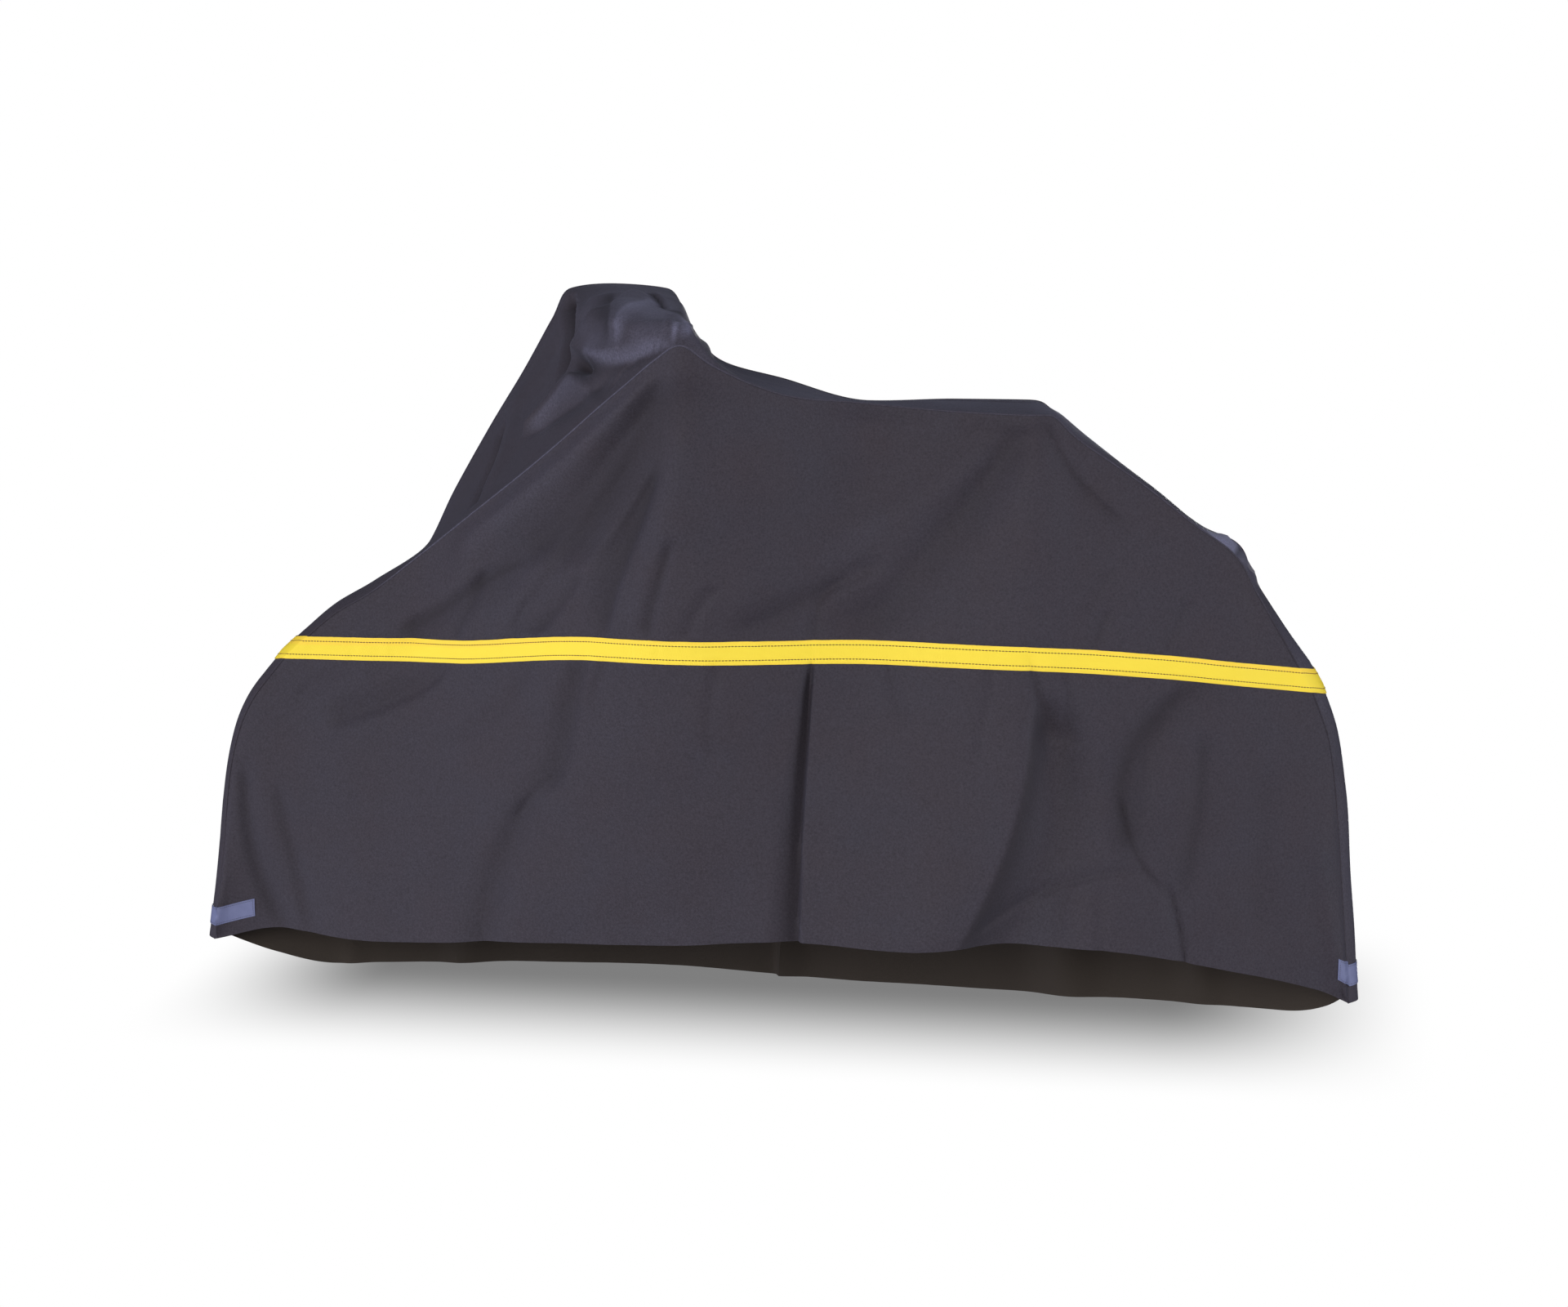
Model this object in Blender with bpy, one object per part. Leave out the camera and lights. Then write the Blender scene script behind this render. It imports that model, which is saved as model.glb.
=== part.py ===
"""Fitted cloth cover over a leaning bicycle, bicycle left out.

Metres, +Z up, +X towards the rear wheel, -Y towards the side the bicycle leans to.
All tables are given above the floor and in the wheels' own plane; the finished model is
moved so that its origin is the point on the saddle that carries the cover.

The whole cover is one skin, worked out section by section. Every cut piece is a closed
sheet of that skin with its own thickness, so neighbours meet in a mitre at each seam.
"""
import math

import bmesh
import bpy
import numpy as np
from mathutils import Vector

COLLECTION = "bicycle cover"

# Driving sizes
CLOTH = 0.0016          # coated cloth, as a sheet
BAND_THICK = 0.0010     # sewn-on band
LABEL_THICK = 0.0008    # woven labels
SEAM_GAP = 0.0005       # clear space between two cut edges
LAY_GAP = 0.0004        # clear space under a band or label
CARRY = (0.300, -0.090, 0.9493)
COLUMN = 0.031          # longest step between two columns, along the near seam
BELLY = 0.012           # how far the side cloth stands out between hem and seam
LEAST_RISE = 0.001      # least height between two rows of one column
SHARP_ANGLE = 40        # degrees between faces that show as an edge

# Hem lines: x, y, z
NEAR_HEM = (
    (-0.915, -0.095, 0.066),
    (-0.800, -0.110, 0.091),
    (-0.690, -0.155, 0.088),
    (-0.390, -0.250, 0.115),
    (-0.140, -0.300, 0.132),
    (0.050, -0.310, 0.147),
    (0.212, -0.310, 0.141),
    (0.340, -0.290, 0.149),
    (0.500, -0.250, 0.144),
    (0.650, -0.180, 0.115),
    (0.797, -0.100, 0.076),
    (0.850, -0.062, 0.056),
    (0.877, -0.045, 0.040),
)
FAR_HEM = (
    (-0.915, -0.045, 0.062),
    (-0.845, -0.010, 0.030),
    (-0.750, 0.040, 0.003),
    (-0.432, 0.100, 0.009),
    (-0.213, 0.120, 0.009),
    (0.028, 0.120, 0.000),
    (0.365, 0.110, -0.004),
    (0.607, 0.080, -0.004),
    (0.780, 0.045, -0.005),
    (0.845, 0.025, 0.008),
    (0.877, 0.015, 0.028),
)

# Front and rear noses from the hem (0) up to the band (1): share, x, near y, far y, z
FRONT_NOSE = (
    (0.0, -0.915, -0.095, -0.045, 0.064),
    (0.3, -0.899, -0.100, -0.035, 0.205),
    (0.65, -0.880, -0.105, -0.030, 0.370),
    (0.85, -0.850, -0.106, -0.028, 0.452),
    (1.0, -0.798, -0.108, -0.026, 0.521),
)
REAR_NOSE = (
    (0.0, 0.877, -0.045, 0.015, 0.036),
    (0.3, 0.862, -0.050, 0.018, 0.200),
    (0.65, 0.845, -0.055, 0.020, 0.370),
    (0.85, 0.831, -0.060, 0.020, 0.455),
    (1.0, 0.806, -0.066, 0.020, 0.521),
)
NOSE_ROUND = 0.015      # how far a nose stands out past its two seams
STRIP_FULLNESS = 2.4    # 2 is a parabola across the centre strip, more is squarer

# The seams over the top, from the band at the front to the band at the rear:
# near x, y, z, far x, y, z, and how far the cloth between them stands out
ARCH = (
    (-0.766, -0.110, 0.551, -0.766, -0.023, 0.551, 0.015),
    (-0.716, -0.113, 0.594, -0.718, -0.018, 0.594, 0.015),
    (-0.650, -0.118, 0.635, -0.656, -0.010, 0.635, 0.013),
    (-0.572, -0.125, 0.696, -0.598, 0.008, 0.690, 0.004),
    (-0.480, -0.175, 0.767, -0.557, 0.035, 0.782, 0.000),
    (-0.392, -0.220, 0.835, -0.505, 0.060, 0.884, 0.000),
    (-0.320, -0.265, 0.893, -0.459, 0.090, 0.970, 0.000),
    (-0.262, -0.300, 0.942, -0.420, 0.122, 1.052, 0.006),
    (-0.212, -0.325, 0.983, -0.396, 0.150, 1.100, 0.012),
    (-0.168, -0.345, 1.019, -0.330, 0.172, 1.108, 0.014),
    (-0.129, -0.360, 1.041, -0.245, 0.180, 1.102, 0.010),
    (-0.085, -0.340, 1.012, -0.205, 0.162, 1.048, 0.002),
    (-0.030, -0.310, 0.984, -0.152, 0.140, 0.993, -0.003),
    (0.030, -0.262, 0.963, -0.040, 0.090, 0.968, -0.004),
    (0.124, -0.190, 0.952, 0.108, 0.000, 0.943, 0.000),
    (0.240, -0.185, 0.944, 0.242, 0.000, 0.949, 0.005),
    (0.359, -0.190, 0.941, 0.355, 0.008, 0.950, 0.005),
    (0.400, -0.180, 0.941, 0.394, 0.003, 0.935, 0.005),
    (0.446, -0.158, 0.903, 0.446, -0.003, 0.897, 0.005),
    (0.545, -0.140, 0.836, 0.545, -0.004, 0.823, 0.004),
    (0.618, -0.125, 0.780, 0.624, 0.012, 0.764, 0.002),
    (0.684, -0.105, 0.730, 0.687, 0.032, 0.730, 0.002),
    (0.721, -0.090, 0.667, 0.716, 0.026, 0.656, 0.008),
    (0.786, -0.072, 0.556, 0.786, 0.020, 0.556, 0.015),
)

# Band: x and the height of its lower edge, near side and far side
BAND_WIDTH = 0.035
NEAR_BAND = (
    (-0.798, 0.521),
    (-0.640, 0.527),
    (-0.500, 0.535),
    (-0.258, 0.563),
    (0.063, 0.567),
    (0.362, 0.563),
    (0.572, 0.550),
    (0.806, 0.521),
)
FAR_BAND = (
    (-0.798, 0.521),
    (-0.400, 0.530),
    (0.000, 0.535),
    (0.400, 0.533),
    (0.806, 0.521),
)

# Rows of the grid: shares from hem to band, and from band to the seam over the top
LOW_ROWS = (0.0, 0.035, 0.11, 0.23, 0.36, 0.49, 0.62, 0.75, 0.88, 1.0)
NEAR_HIGH_ROWS = (0.0, 0.09, 0.18, 0.28, 0.38, 0.48, 0.58, 0.68, 0.78, 0.87, 0.95, 1.0)
FAR_HIGH_ROWS = (0.0, 0.15, 0.32, 0.5, 0.68, 0.86, 1.0)
CROSS_ROWS = (0.0, 0.12, 0.3, 0.5, 0.7, 0.88, 1.0)

LABEL_ROW = 1           # the labels take this row of cloth, just above the hem
NEAR_LABEL_COLUMNS = (3, 1)         # columns of the near side under the front and rear label
FAR_LABEL_COLUMNS = (0, 1)

# Forms of the centre strip over the handlebar: x, y, reach along and across, height
CROWN_FORMS = (
    (-0.262, -0.235, 0.040, 0.050, 0.016),
    (-0.325, -0.100, 0.022, 0.110, -0.010),
    (-0.240, -0.050, 0.060, 0.120, 0.006),
)
CROWN_EDGE = 0.1        # share of the strip's width over which they rise from its seams

# Folds of a side: start x, z, end x, z, depth (+ stands out), half-width at start and end,
# sideways bow at its middle
NEAR_FOLDS = (
    (-0.139, 1.014, -0.617, 0.555, -0.016, 0.014, 0.032, -0.016),
    (-0.150, 0.960, -0.240, 0.585, -0.008, 0.014, 0.018, 0.010),
    (0.353, 0.940, -0.020, 0.700, -0.012, 0.014, 0.042, 0.000),
    (0.366, 0.933, 0.095, 0.600, -0.011, 0.014, 0.028, -0.021),
    (0.160, 0.735, -0.060, 0.620, -0.007, 0.016, 0.016, 0.000),
    (0.396, 0.930, 0.510, 0.750, -0.005, 0.014, 0.018, 0.000),
    (0.063, 0.560, 0.038, 0.020, -0.014, 0.014, 0.020, 0.000),
    (0.388, 0.565, 0.320, 0.000, -0.028, 0.016, 0.042, -0.036),
    (0.614, 0.545, 0.522, 0.320, -0.014, 0.018, 0.022, 0.036),
    (0.530, 0.380, 0.650, 0.020, -0.012, 0.014, 0.018, 0.010),
    (0.640, 0.480, 0.636, 0.110, -0.008, 0.016, 0.018, 0.000),
    (-0.480, 0.545, -0.700, 0.438, -0.006, 0.014, 0.018, 0.000),
    (-0.287, 0.560, -0.460, 0.020, -0.012, 0.016, 0.036, -0.024),
    (-0.866, 0.370, -0.780, 0.000, -0.008, 0.014, 0.018, 0.000),
    (-0.815, 0.340, -0.730, 0.020, -0.006, 0.014, 0.018, 0.000),
)
FAR_FOLDS = (
    (-0.260, 1.060, -0.540, 0.560, -0.016, 0.016, 0.036, -0.016),
    (-0.235, 1.060, -0.300, 0.560, -0.010, 0.014, 0.034, 0.006),
    (-0.200, 1.000, -0.080, 0.600, -0.008, 0.014, 0.030, 0.000),
    (0.350, 0.935, 0.080, 0.590, -0.013, 0.016, 0.038, 0.016),
    (0.400, 0.905, 0.560, 0.600, -0.008, 0.014, 0.030, 0.000),
    (-0.020, 0.530, -0.034, -0.120, -0.014, 0.014, 0.024, 0.000),
    (0.340, 0.540, 0.430, -0.120, -0.024, 0.018, 0.045, 0.020),
    (0.600, 0.520, 0.640, -0.060, -0.012, 0.016, 0.030, 0.000),
    (-0.400, 0.540, -0.560, -0.120, -0.020, 0.018, 0.040, 0.016),
    (-0.790, 0.400, -0.720, -0.080, -0.007, 0.014, 0.022, 0.000),
)
SPREAD = 0.13           # how far to each side the cloth at the hem follows the seam above it
SPREAD_SAMPLES = 7
SEAM_CALM = 0.10        # share of the height over which folds die out below the seam
NOSE_REACH = 8          # how quickly the columns straighten away from a nose
FOLD_FADE = 0.18        # share of a fold's length over which it rises from and falls to nothing


def through(table, place):
    """Smooth monotone curve through the rows of a table whose first column is the place."""
    rows = np.array(table, dtype=float)
    xs = rows[:, 0]
    steps = np.diff(xs)[:, None]
    slopes = np.diff(rows[:, 1:], axis=0) / steps
    tangents = np.vstack([slopes[:1], (slopes[1:] + slopes[:-1]) / 2, slopes[-1:]])
    same_way = slopes[1:] * slopes[:-1] > 0
    limit = 2.0 * np.minimum(np.abs(slopes[1:]), np.abs(slopes[:-1]))
    inner = np.clip(tangents[1:-1], -limit, limit)
    tangents[1:-1] = np.where(same_way, inner, 0.0)
    i = int(np.clip(np.searchsorted(xs, place) - 1, 0, len(xs) - 2))
    h = xs[i + 1] - xs[i]
    t = min(max((place - xs[i]) / h, 0.0), 1.0)
    t2, t3 = t * t, t * t * t
    return ((2 * t3 - 3 * t2 + 1) * rows[i, 1:] + (t3 - 2 * t2 + t) * h * tangents[i]
            + (3 * t2 - 2 * t3) * rows[i + 1, 1:] + (t3 - t2) * h * tangents[i + 1])


def ease(t):
    """Smooth step from 0 to 1."""
    t = min(max(t, 0.0), 1.0)
    return t * t * (3.0 - 2.0 * t)


def fold_depth(folds, x, z):
    """How far all folds together push the cloth out at x, z."""
    total = 0.0
    for x0, z0, x1, z1, depth, wide0, wide1, bow in folds:
        run_x, run_z = x1 - x0, z1 - z0
        length = math.hypot(run_x, run_z)
        along = ((x - x0) * run_x + (z - z0) * run_z) / length ** 2
        if not 0.0 < along < 1.0:
            continue
        aside = ((x - x0) * run_z - (z - z0) * run_x) / length
        aside -= bow * 4.0 * along * (1.0 - along)
        wide = wide0 + (wide1 - wide0) * along
        rise = ease(along / FOLD_FADE) * ease((1.0 - along) / FOLD_FADE)
        total += depth * rise * math.exp(-(aside / wide) ** 2)
    return total


def arch_places():
    """Places along ARCH, its own rows and even steps between them."""
    places = []
    for i, (row, following) in enumerate(zip(ARCH, ARCH[1:])):
        steps = math.ceil(math.dist(row[0:3], following[0:3]) / COLUMN)
        places += [i + k / steps for k in range(steps)]
    return places + [len(ARCH) - 1]


class Side:
    """One side of the cover: cloth between its hem and its seam over the top."""

    def __init__(self, outward, hem, band, high_rows, folds, nose_column, arch_column):
        self.outward = outward
        self.hem = hem
        self.band = band
        self.high_rows = high_rows
        self.folds = folds
        rows = [(i, *row[arch_column:arch_column + 3]) for i, row in enumerate(ARCH)]
        self.arch = [tuple(through(rows, place)) for place in arch_places()]
        self.front = [self.nose_point(FRONT_NOSE, s, nose_column) for s in LOW_ROWS]
        self.rear = [self.nose_point(REAR_NOSE, s, nose_column) for s in LOW_ROWS]
        self.seam = self.front + self.arch + self.rear[::-1]
        self.seam_x, self.seam_y, self.seam_z = zip(*self.seam)

    @staticmethod
    def nose_point(nose, share, column):
        values = through(nose, share)
        return (values[0], values[column], values[3])

    def point(self, x, z):
        """The cloth at x, z."""
        hem_y, hem_z = through(self.hem, x)
        top_z = np.interp(x, self.seam_x, self.seam_z)
        share = min(max((z - hem_z) / max(top_z - hem_z, LEAST_RISE), 0.0), 1.0)
        reach = SPREAD * (1.0 - share)
        nearby = np.linspace(x - reach, x + reach, SPREAD_SAMPLES)
        top_y = float(np.mean(np.interp(nearby, self.seam_x, self.seam_y)))
        out = BELLY * 4.0 * share * (1.0 - share)
        out += fold_depth(self.folds, x, z) * ease((1.0 - share) / SEAM_CALM)
        return (x, hem_y + (top_y - hem_y) * share + self.outward * out, z)

    def column(self, i):
        """Points from the hem up to the seam over the top."""
        top = self.arch[i]
        if i == 0:
            return self.front + [top] * len(self.high_rows)
        if i == len(self.arch) - 1:
            return self.rear + [top] * len(self.high_rows)
        first_x, last_x = self.arch[0][0], self.arch[-1][0]
        share = (top[0] - first_x) / (last_x - first_x)
        points = []
        for j, rise in enumerate(LOW_ROWS):
            x, z = self.low_point(share, rise)
            for nose, end, near in ((self.front, 0.0, 1.0 - share), (self.rear, 1.0, share)):
                end_x, end_z = self.low_point(end, rise)
                x += (nose[j][0] - end_x) * near ** NOSE_REACH
                z += (nose[j][2] - end_z) * near ** NOSE_REACH
            points.append(self.point(x, z))
        band_top = min(through(self.band, top[0])[0] + BAND_WIDTH, top[2] - LEAST_RISE)
        for rise in self.high_rows[:-1]:
            points.append(self.point(top[0], band_top + (top[2] - band_top) * rise))
        return points + [top]

    def low_point(self, share, rise):
        """x, z on a straight line from the hem up to the band's lower edge."""
        hem_x = self.hem[0][0] + (self.hem[-1][0] - self.hem[0][0]) * share
        band_x = self.band[0][0] + (self.band[-1][0] - self.band[0][0]) * share
        hem_z = through(self.hem, hem_x)[1]
        band_z = through(self.band, band_x)[0]
        return hem_x + (band_x - hem_x) * rise, hem_z + (band_z - hem_z) * rise


def centre_rows(near, far):
    """Points across the centre strip, for each place along its two seams."""
    near_line = np.array(near.seam)
    far_line = np.array(far.seam)
    across = far_line - near_line
    along = np.gradient((near_line + far_line) / 2, axis=0)
    out = np.cross(along, across)
    out /= np.linalg.norm(out, axis=1)[:, None]
    rounds = [(i, row[6]) for i, row in enumerate(ARCH)]
    stands = [through(rounds, place)[0] for place in arch_places()]
    ends = [NOSE_ROUND] * len(LOW_ROWS)
    rows = []
    for a, way, normal, stand in zip(near_line, across, out, ends + stands + ends):
        row = []
        for w in CROSS_ROWS:
            p = a + way * w
            bulge = stand * (1.0 - abs(2.0 * w - 1.0) ** STRIP_FULLNESS)
            for x, y, long, wide, height in CROWN_FORMS:
                fall = ((p[0] - x) / long) ** 2 + ((p[1] - y) / wide) ** 2
                bulge += height * math.exp(-fall) * ease(min(w, 1.0 - w) / CROWN_EDGE)
            row.append(tuple(p + normal * bulge))
        rows.append(row)
    return rows


class Skin:
    """The whole outer surface, welded, each face named for the pieces that take it."""

    def __init__(self):
        self.mesh = bmesh.new()
        self.known = {}
        self.names = {}

    def vertex(self, p):
        key = tuple(round(c, 5) for c in p)
        if key not in self.known:
            self.known[key] = self.mesh.verts.new(Vector(p) - Vector(CARRY))
        return self.known[key]

    def face(self, corners, names):
        """One quad as two triangles; a corner met twice leaves one triangle."""
        a, b, c, d = (self.vertex(p) for p in corners)
        for triangle in ((a, b, c), (a, c, d)):
            if len(set(triangle)) == 3:
                self.names[self.mesh.faces.new(triangle)] = names

    def sheet(self, name, inner, outer, material):
        """A closed sheet of all faces with this name, between two distances from the skin."""
        faces = [f for f in self.mesh.faces if name in self.names[f]]
        chosen = set(faces)
        moved = {v: v.co.copy() for f in faces for v in f.verts}
        inward = {}
        rims = []
        for f in faces:
            for loop in f.loops:
                if any(g in chosen for g in loop.edge.link_faces if g is not f):
                    continue
                a, b = loop.vert, loop.link_loop_next.vert
                rims.append((a, b))
                step = f.normal.cross(b.co - a.co).normalized()
                for v in (a, b):
                    inward[v] = inward.get(v, Vector()) + step
        for v, step in inward.items():
            moved[v] += step.normalized() * SEAM_GAP / 2
        solid = bmesh.new()
        out = {v: solid.verts.new(co + v.normal * outer) for v, co in moved.items()}
        back = {v: solid.verts.new(co + v.normal * inner) for v, co in moved.items()}
        for f in faces:
            solid.faces.new([out[v] for v in f.verts])
            solid.faces.new([back[v] for v in reversed(f.verts)])
        for a, b in rims:
            solid.faces.new((out[b], out[a], back[a]))
            solid.faces.new((out[b], back[a], back[b]))
        mesh = bpy.data.meshes.new(name)
        solid.to_mesh(mesh)
        solid.free()
        mesh.shade_smooth()
        mesh.set_sharp_from_angle(angle=math.radians(SHARP_ANGLE))
        mesh.materials.append(material)
        piece = bpy.data.objects.new(name, mesh)
        bpy.data.collections[COLLECTION].objects.link(piece)


def add_grid(skin, rows, name, flip, extra):
    """Faces between neighbouring rows of points; extra adds a name to chosen faces."""
    for i in range(len(rows) - 1):
        for j in range(len(rows[0]) - 1):
            corners = [rows[i][j], rows[i + 1][j], rows[i + 1][j + 1], rows[i][j + 1]]
            if flip:
                corners.reverse()
            skin.face(corners, {name} | extra(i, j))


def build_skin():
    near = Side(-1.0, NEAR_HEM, NEAR_BAND, NEAR_HIGH_ROWS, NEAR_FOLDS, 1, 0)
    far = Side(1.0, FAR_HEM, FAR_BAND, FAR_HIGH_ROWS, FAR_FOLDS, 2, 3)
    band_row = len(LOW_ROWS) - 1
    columns = len(near.arch)
    middle = len(CROSS_ROWS) // 2
    last = len(near.seam) - 1

    def side_extra(band, front_columns, rear_columns):
        def extra(i, j):
            names = {band} if j == band_row else set()
            if j == LABEL_ROW and i < front_columns:
                names.add("front_label")
            if j == LABEL_ROW and i >= columns - 1 - rear_columns:
                names.add("rear_label")
            return names
        return extra

    def centre_extra(i, w):
        names = set()
        if i in (band_row, last - 1 - band_row):
            names.add("near_band" if w < middle else "far_band")
        if i == LABEL_ROW and w < middle:
            names.add("front_label")
        if i == last - 1 - LABEL_ROW:
            names.add("rear_label")
        return names

    skin = Skin()
    near_rows = [near.column(i) for i in range(columns)]
    far_rows = [far.column(i) for i in range(columns)]
    add_grid(skin, near_rows, "near_side_panel", False, side_extra("near_band", *NEAR_LABEL_COLUMNS))
    add_grid(skin, far_rows, "far_side_panel", True, side_extra("far_band", *FAR_LABEL_COLUMNS))
    add_grid(skin, centre_rows(near, far), "centre_panel", False, centre_extra)
    skin.mesh.normal_update()
    return skin


def material(name, colour, roughness):
    mat = bpy.data.materials.new(name)
    mat.use_nodes = True
    shader = mat.node_tree.nodes["Principled BSDF"]
    shader.inputs["Base Color"].default_value = (*colour, 1.0)
    shader.inputs["Roughness"].default_value = roughness
    shader.inputs["Metallic"].default_value = 0.0
    return mat


def main():
    for old in list(bpy.data.objects):
        bpy.data.objects.remove(old, do_unlink=True)
    collection = bpy.data.collections.new(COLLECTION)
    bpy.context.scene.collection.children.link(collection)
    skin = build_skin()
    band_out = LAY_GAP + BAND_THICK
    label_out = LAY_GAP + LABEL_THICK
    for name in ("near_side_panel", "far_side_panel", "centre_panel"):
        skin.sheet(name, -CLOTH, 0.0, material(name + "_cloth", (0.055, 0.052, 0.068), 0.75))
    for name in ("near_band", "far_band"):
        skin.sheet(name, LAY_GAP, band_out, material(name + "_webbing", (0.91, 0.69, 0.04), 0.6))
    for name in ("front_label", "rear_label"):
        skin.sheet(name, LAY_GAP, label_out, material(name + "_weave", (0.15, 0.16, 0.32), 0.7))
    skin.mesh.free()


main()
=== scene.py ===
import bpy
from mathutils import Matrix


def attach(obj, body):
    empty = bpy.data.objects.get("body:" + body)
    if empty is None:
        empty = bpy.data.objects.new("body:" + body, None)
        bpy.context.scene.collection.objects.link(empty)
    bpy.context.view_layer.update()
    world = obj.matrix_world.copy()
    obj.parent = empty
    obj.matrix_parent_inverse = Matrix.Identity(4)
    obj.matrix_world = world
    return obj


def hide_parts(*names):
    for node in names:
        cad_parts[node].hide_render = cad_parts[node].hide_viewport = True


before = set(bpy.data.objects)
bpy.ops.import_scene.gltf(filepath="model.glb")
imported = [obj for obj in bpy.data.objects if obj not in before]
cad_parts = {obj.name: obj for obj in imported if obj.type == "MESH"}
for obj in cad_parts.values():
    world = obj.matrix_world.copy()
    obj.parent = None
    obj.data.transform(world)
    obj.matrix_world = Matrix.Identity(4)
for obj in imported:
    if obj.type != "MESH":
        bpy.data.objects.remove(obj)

"""Fitted cloth cover over a leaning bicycle: its panels, bands, labels and sewing.

Metres, +Z up. Tables are given above the floor, in the wheels' own plane, and every
finished point is moved by CARRY into the part's own frame, whose origin is on the saddle.
"""
import math

import bpy
import numpy as np
from mathutils import Matrix, Vector

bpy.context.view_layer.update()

# ------------------------------------------------------------------ sizes of the cut pieces
CARRY = np.array((0.300, -0.090, 0.9493))
CLOTH = 0.0016          # coated cloth, as a sheet
BAND_THICK = 0.0010
LABEL_THICK = 0.0008
LAY_GAP = 0.0004        # under a label
BAND_GAP = 0.0006       # under a band
BELLY = 0.012           # how far the side cloth stands out between hem and seam
GRAIN = 0.0048          # step between two points of the cloth

# Hem lines: x, y, z
NEAR_HEM = (
    (-0.915, -0.095, 0.066),
    (-0.800, -0.110, 0.091),
    (-0.690, -0.155, 0.088),
    (-0.390, -0.250, 0.115),
    (-0.140, -0.300, 0.132),
    (0.050, -0.310, 0.147),
    (0.212, -0.310, 0.141),
    (0.340, -0.290, 0.149),
    (0.500, -0.250, 0.144),
    (0.650, -0.180, 0.115),
    (0.797, -0.100, 0.076),
    (0.850, -0.062, 0.056),
    (0.877, -0.045, 0.040),
)
FAR_HEM = (
    (-0.915, -0.045, 0.062),
    (-0.845, -0.010, 0.030),
    (-0.750, 0.040, 0.003),
    (-0.432, 0.100, 0.009),
    (-0.213, 0.120, 0.009),
    (0.028, 0.120, 0.000),
    (0.365, 0.110, -0.004),
    (0.607, 0.080, -0.004),
    (0.780, 0.045, -0.005),
    (0.845, 0.025, 0.008),
    (0.877, 0.015, 0.028),
)

# Front and rear noses from the hem (0) up to the band (1): share, x, near y, far y, z
FRONT_NOSE = (
    (0.0, -0.915, -0.095, -0.045, 0.064),
    (0.3, -0.899, -0.100, -0.035, 0.205),
    (0.65, -0.880, -0.105, -0.030, 0.370),
    (0.85, -0.850, -0.106, -0.028, 0.452),
    (1.0, -0.798, -0.108, -0.026, 0.521),
)
REAR_NOSE = (
    (0.0, 0.877, -0.045, 0.015, 0.036),
    (0.3, 0.862, -0.050, 0.018, 0.200),
    (0.65, 0.845, -0.055, 0.020, 0.370),
    (0.85, 0.831, -0.060, 0.020, 0.455),
    (1.0, 0.806, -0.066, 0.020, 0.521),
)
NOSE_ROUND = 0.015
STRIP_FULLNESS = 2.4

# The seams over the top, from the band at the front to the band at the rear:
# near x, y, z, far x, y, z, and how far the cloth between them stands out
ARCH = (
    (-0.766, -0.110, 0.551, -0.766, -0.023, 0.551, 0.015),
    (-0.716, -0.113, 0.594, -0.718, -0.018, 0.594, 0.015),
    (-0.650, -0.118, 0.635, -0.656, -0.010, 0.635, 0.013),
    (-0.572, -0.125, 0.696, -0.598, 0.008, 0.690, 0.004),
    (-0.480, -0.175, 0.767, -0.557, 0.035, 0.782, 0.000),
    (-0.392, -0.220, 0.835, -0.505, 0.060, 0.884, 0.000),
    (-0.320, -0.265, 0.893, -0.459, 0.090, 0.970, 0.000),
    (-0.262, -0.300, 0.942, -0.420, 0.122, 1.052, 0.006),
    (-0.212, -0.325, 0.983, -0.396, 0.150, 1.100, 0.012),
    (-0.168, -0.345, 1.019, -0.330, 0.172, 1.108, 0.014),
    (-0.129, -0.360, 1.041, -0.245, 0.180, 1.102, 0.010),
    (-0.085, -0.340, 1.012, -0.205, 0.162, 1.048, 0.002),
    (-0.030, -0.310, 0.984, -0.152, 0.140, 0.993, -0.003),
    (0.030, -0.262, 0.963, -0.040, 0.090, 0.968, -0.004),
    (0.124, -0.190, 0.952, 0.108, 0.000, 0.943, 0.000),
    (0.240, -0.185, 0.944, 0.242, 0.000, 0.949, 0.005),
    (0.359, -0.190, 0.941, 0.355, 0.008, 0.950, 0.005),
    (0.400, -0.180, 0.941, 0.394, 0.003, 0.935, 0.005),
    (0.446, -0.158, 0.903, 0.446, -0.003, 0.897, 0.005),
    (0.545, -0.140, 0.836, 0.545, -0.004, 0.823, 0.004),
    (0.618, -0.125, 0.780, 0.624, 0.012, 0.764, 0.002),
    (0.684, -0.105, 0.730, 0.687, 0.032, 0.730, 0.002),
    (0.721, -0.090, 0.667, 0.716, 0.026, 0.656, 0.008),
    (0.786, -0.072, 0.556, 0.786, 0.020, 0.556, 0.015),
)

# Band: x and the height of its lower edge, near side and far side
BAND_WIDTH = 0.035
NEAR_BAND = (
    (-0.798, 0.521),
    (-0.640, 0.527),
    (-0.500, 0.535),
    (-0.258, 0.563),
    (0.063, 0.567),
    (0.362, 0.563),
    (0.572, 0.550),
    (0.806, 0.521),
)
FAR_BAND = (
    (-0.798, 0.521),
    (-0.400, 0.530),
    (0.000, 0.535),
    (0.400, 0.533),
    (0.806, 0.521),
)

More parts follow.
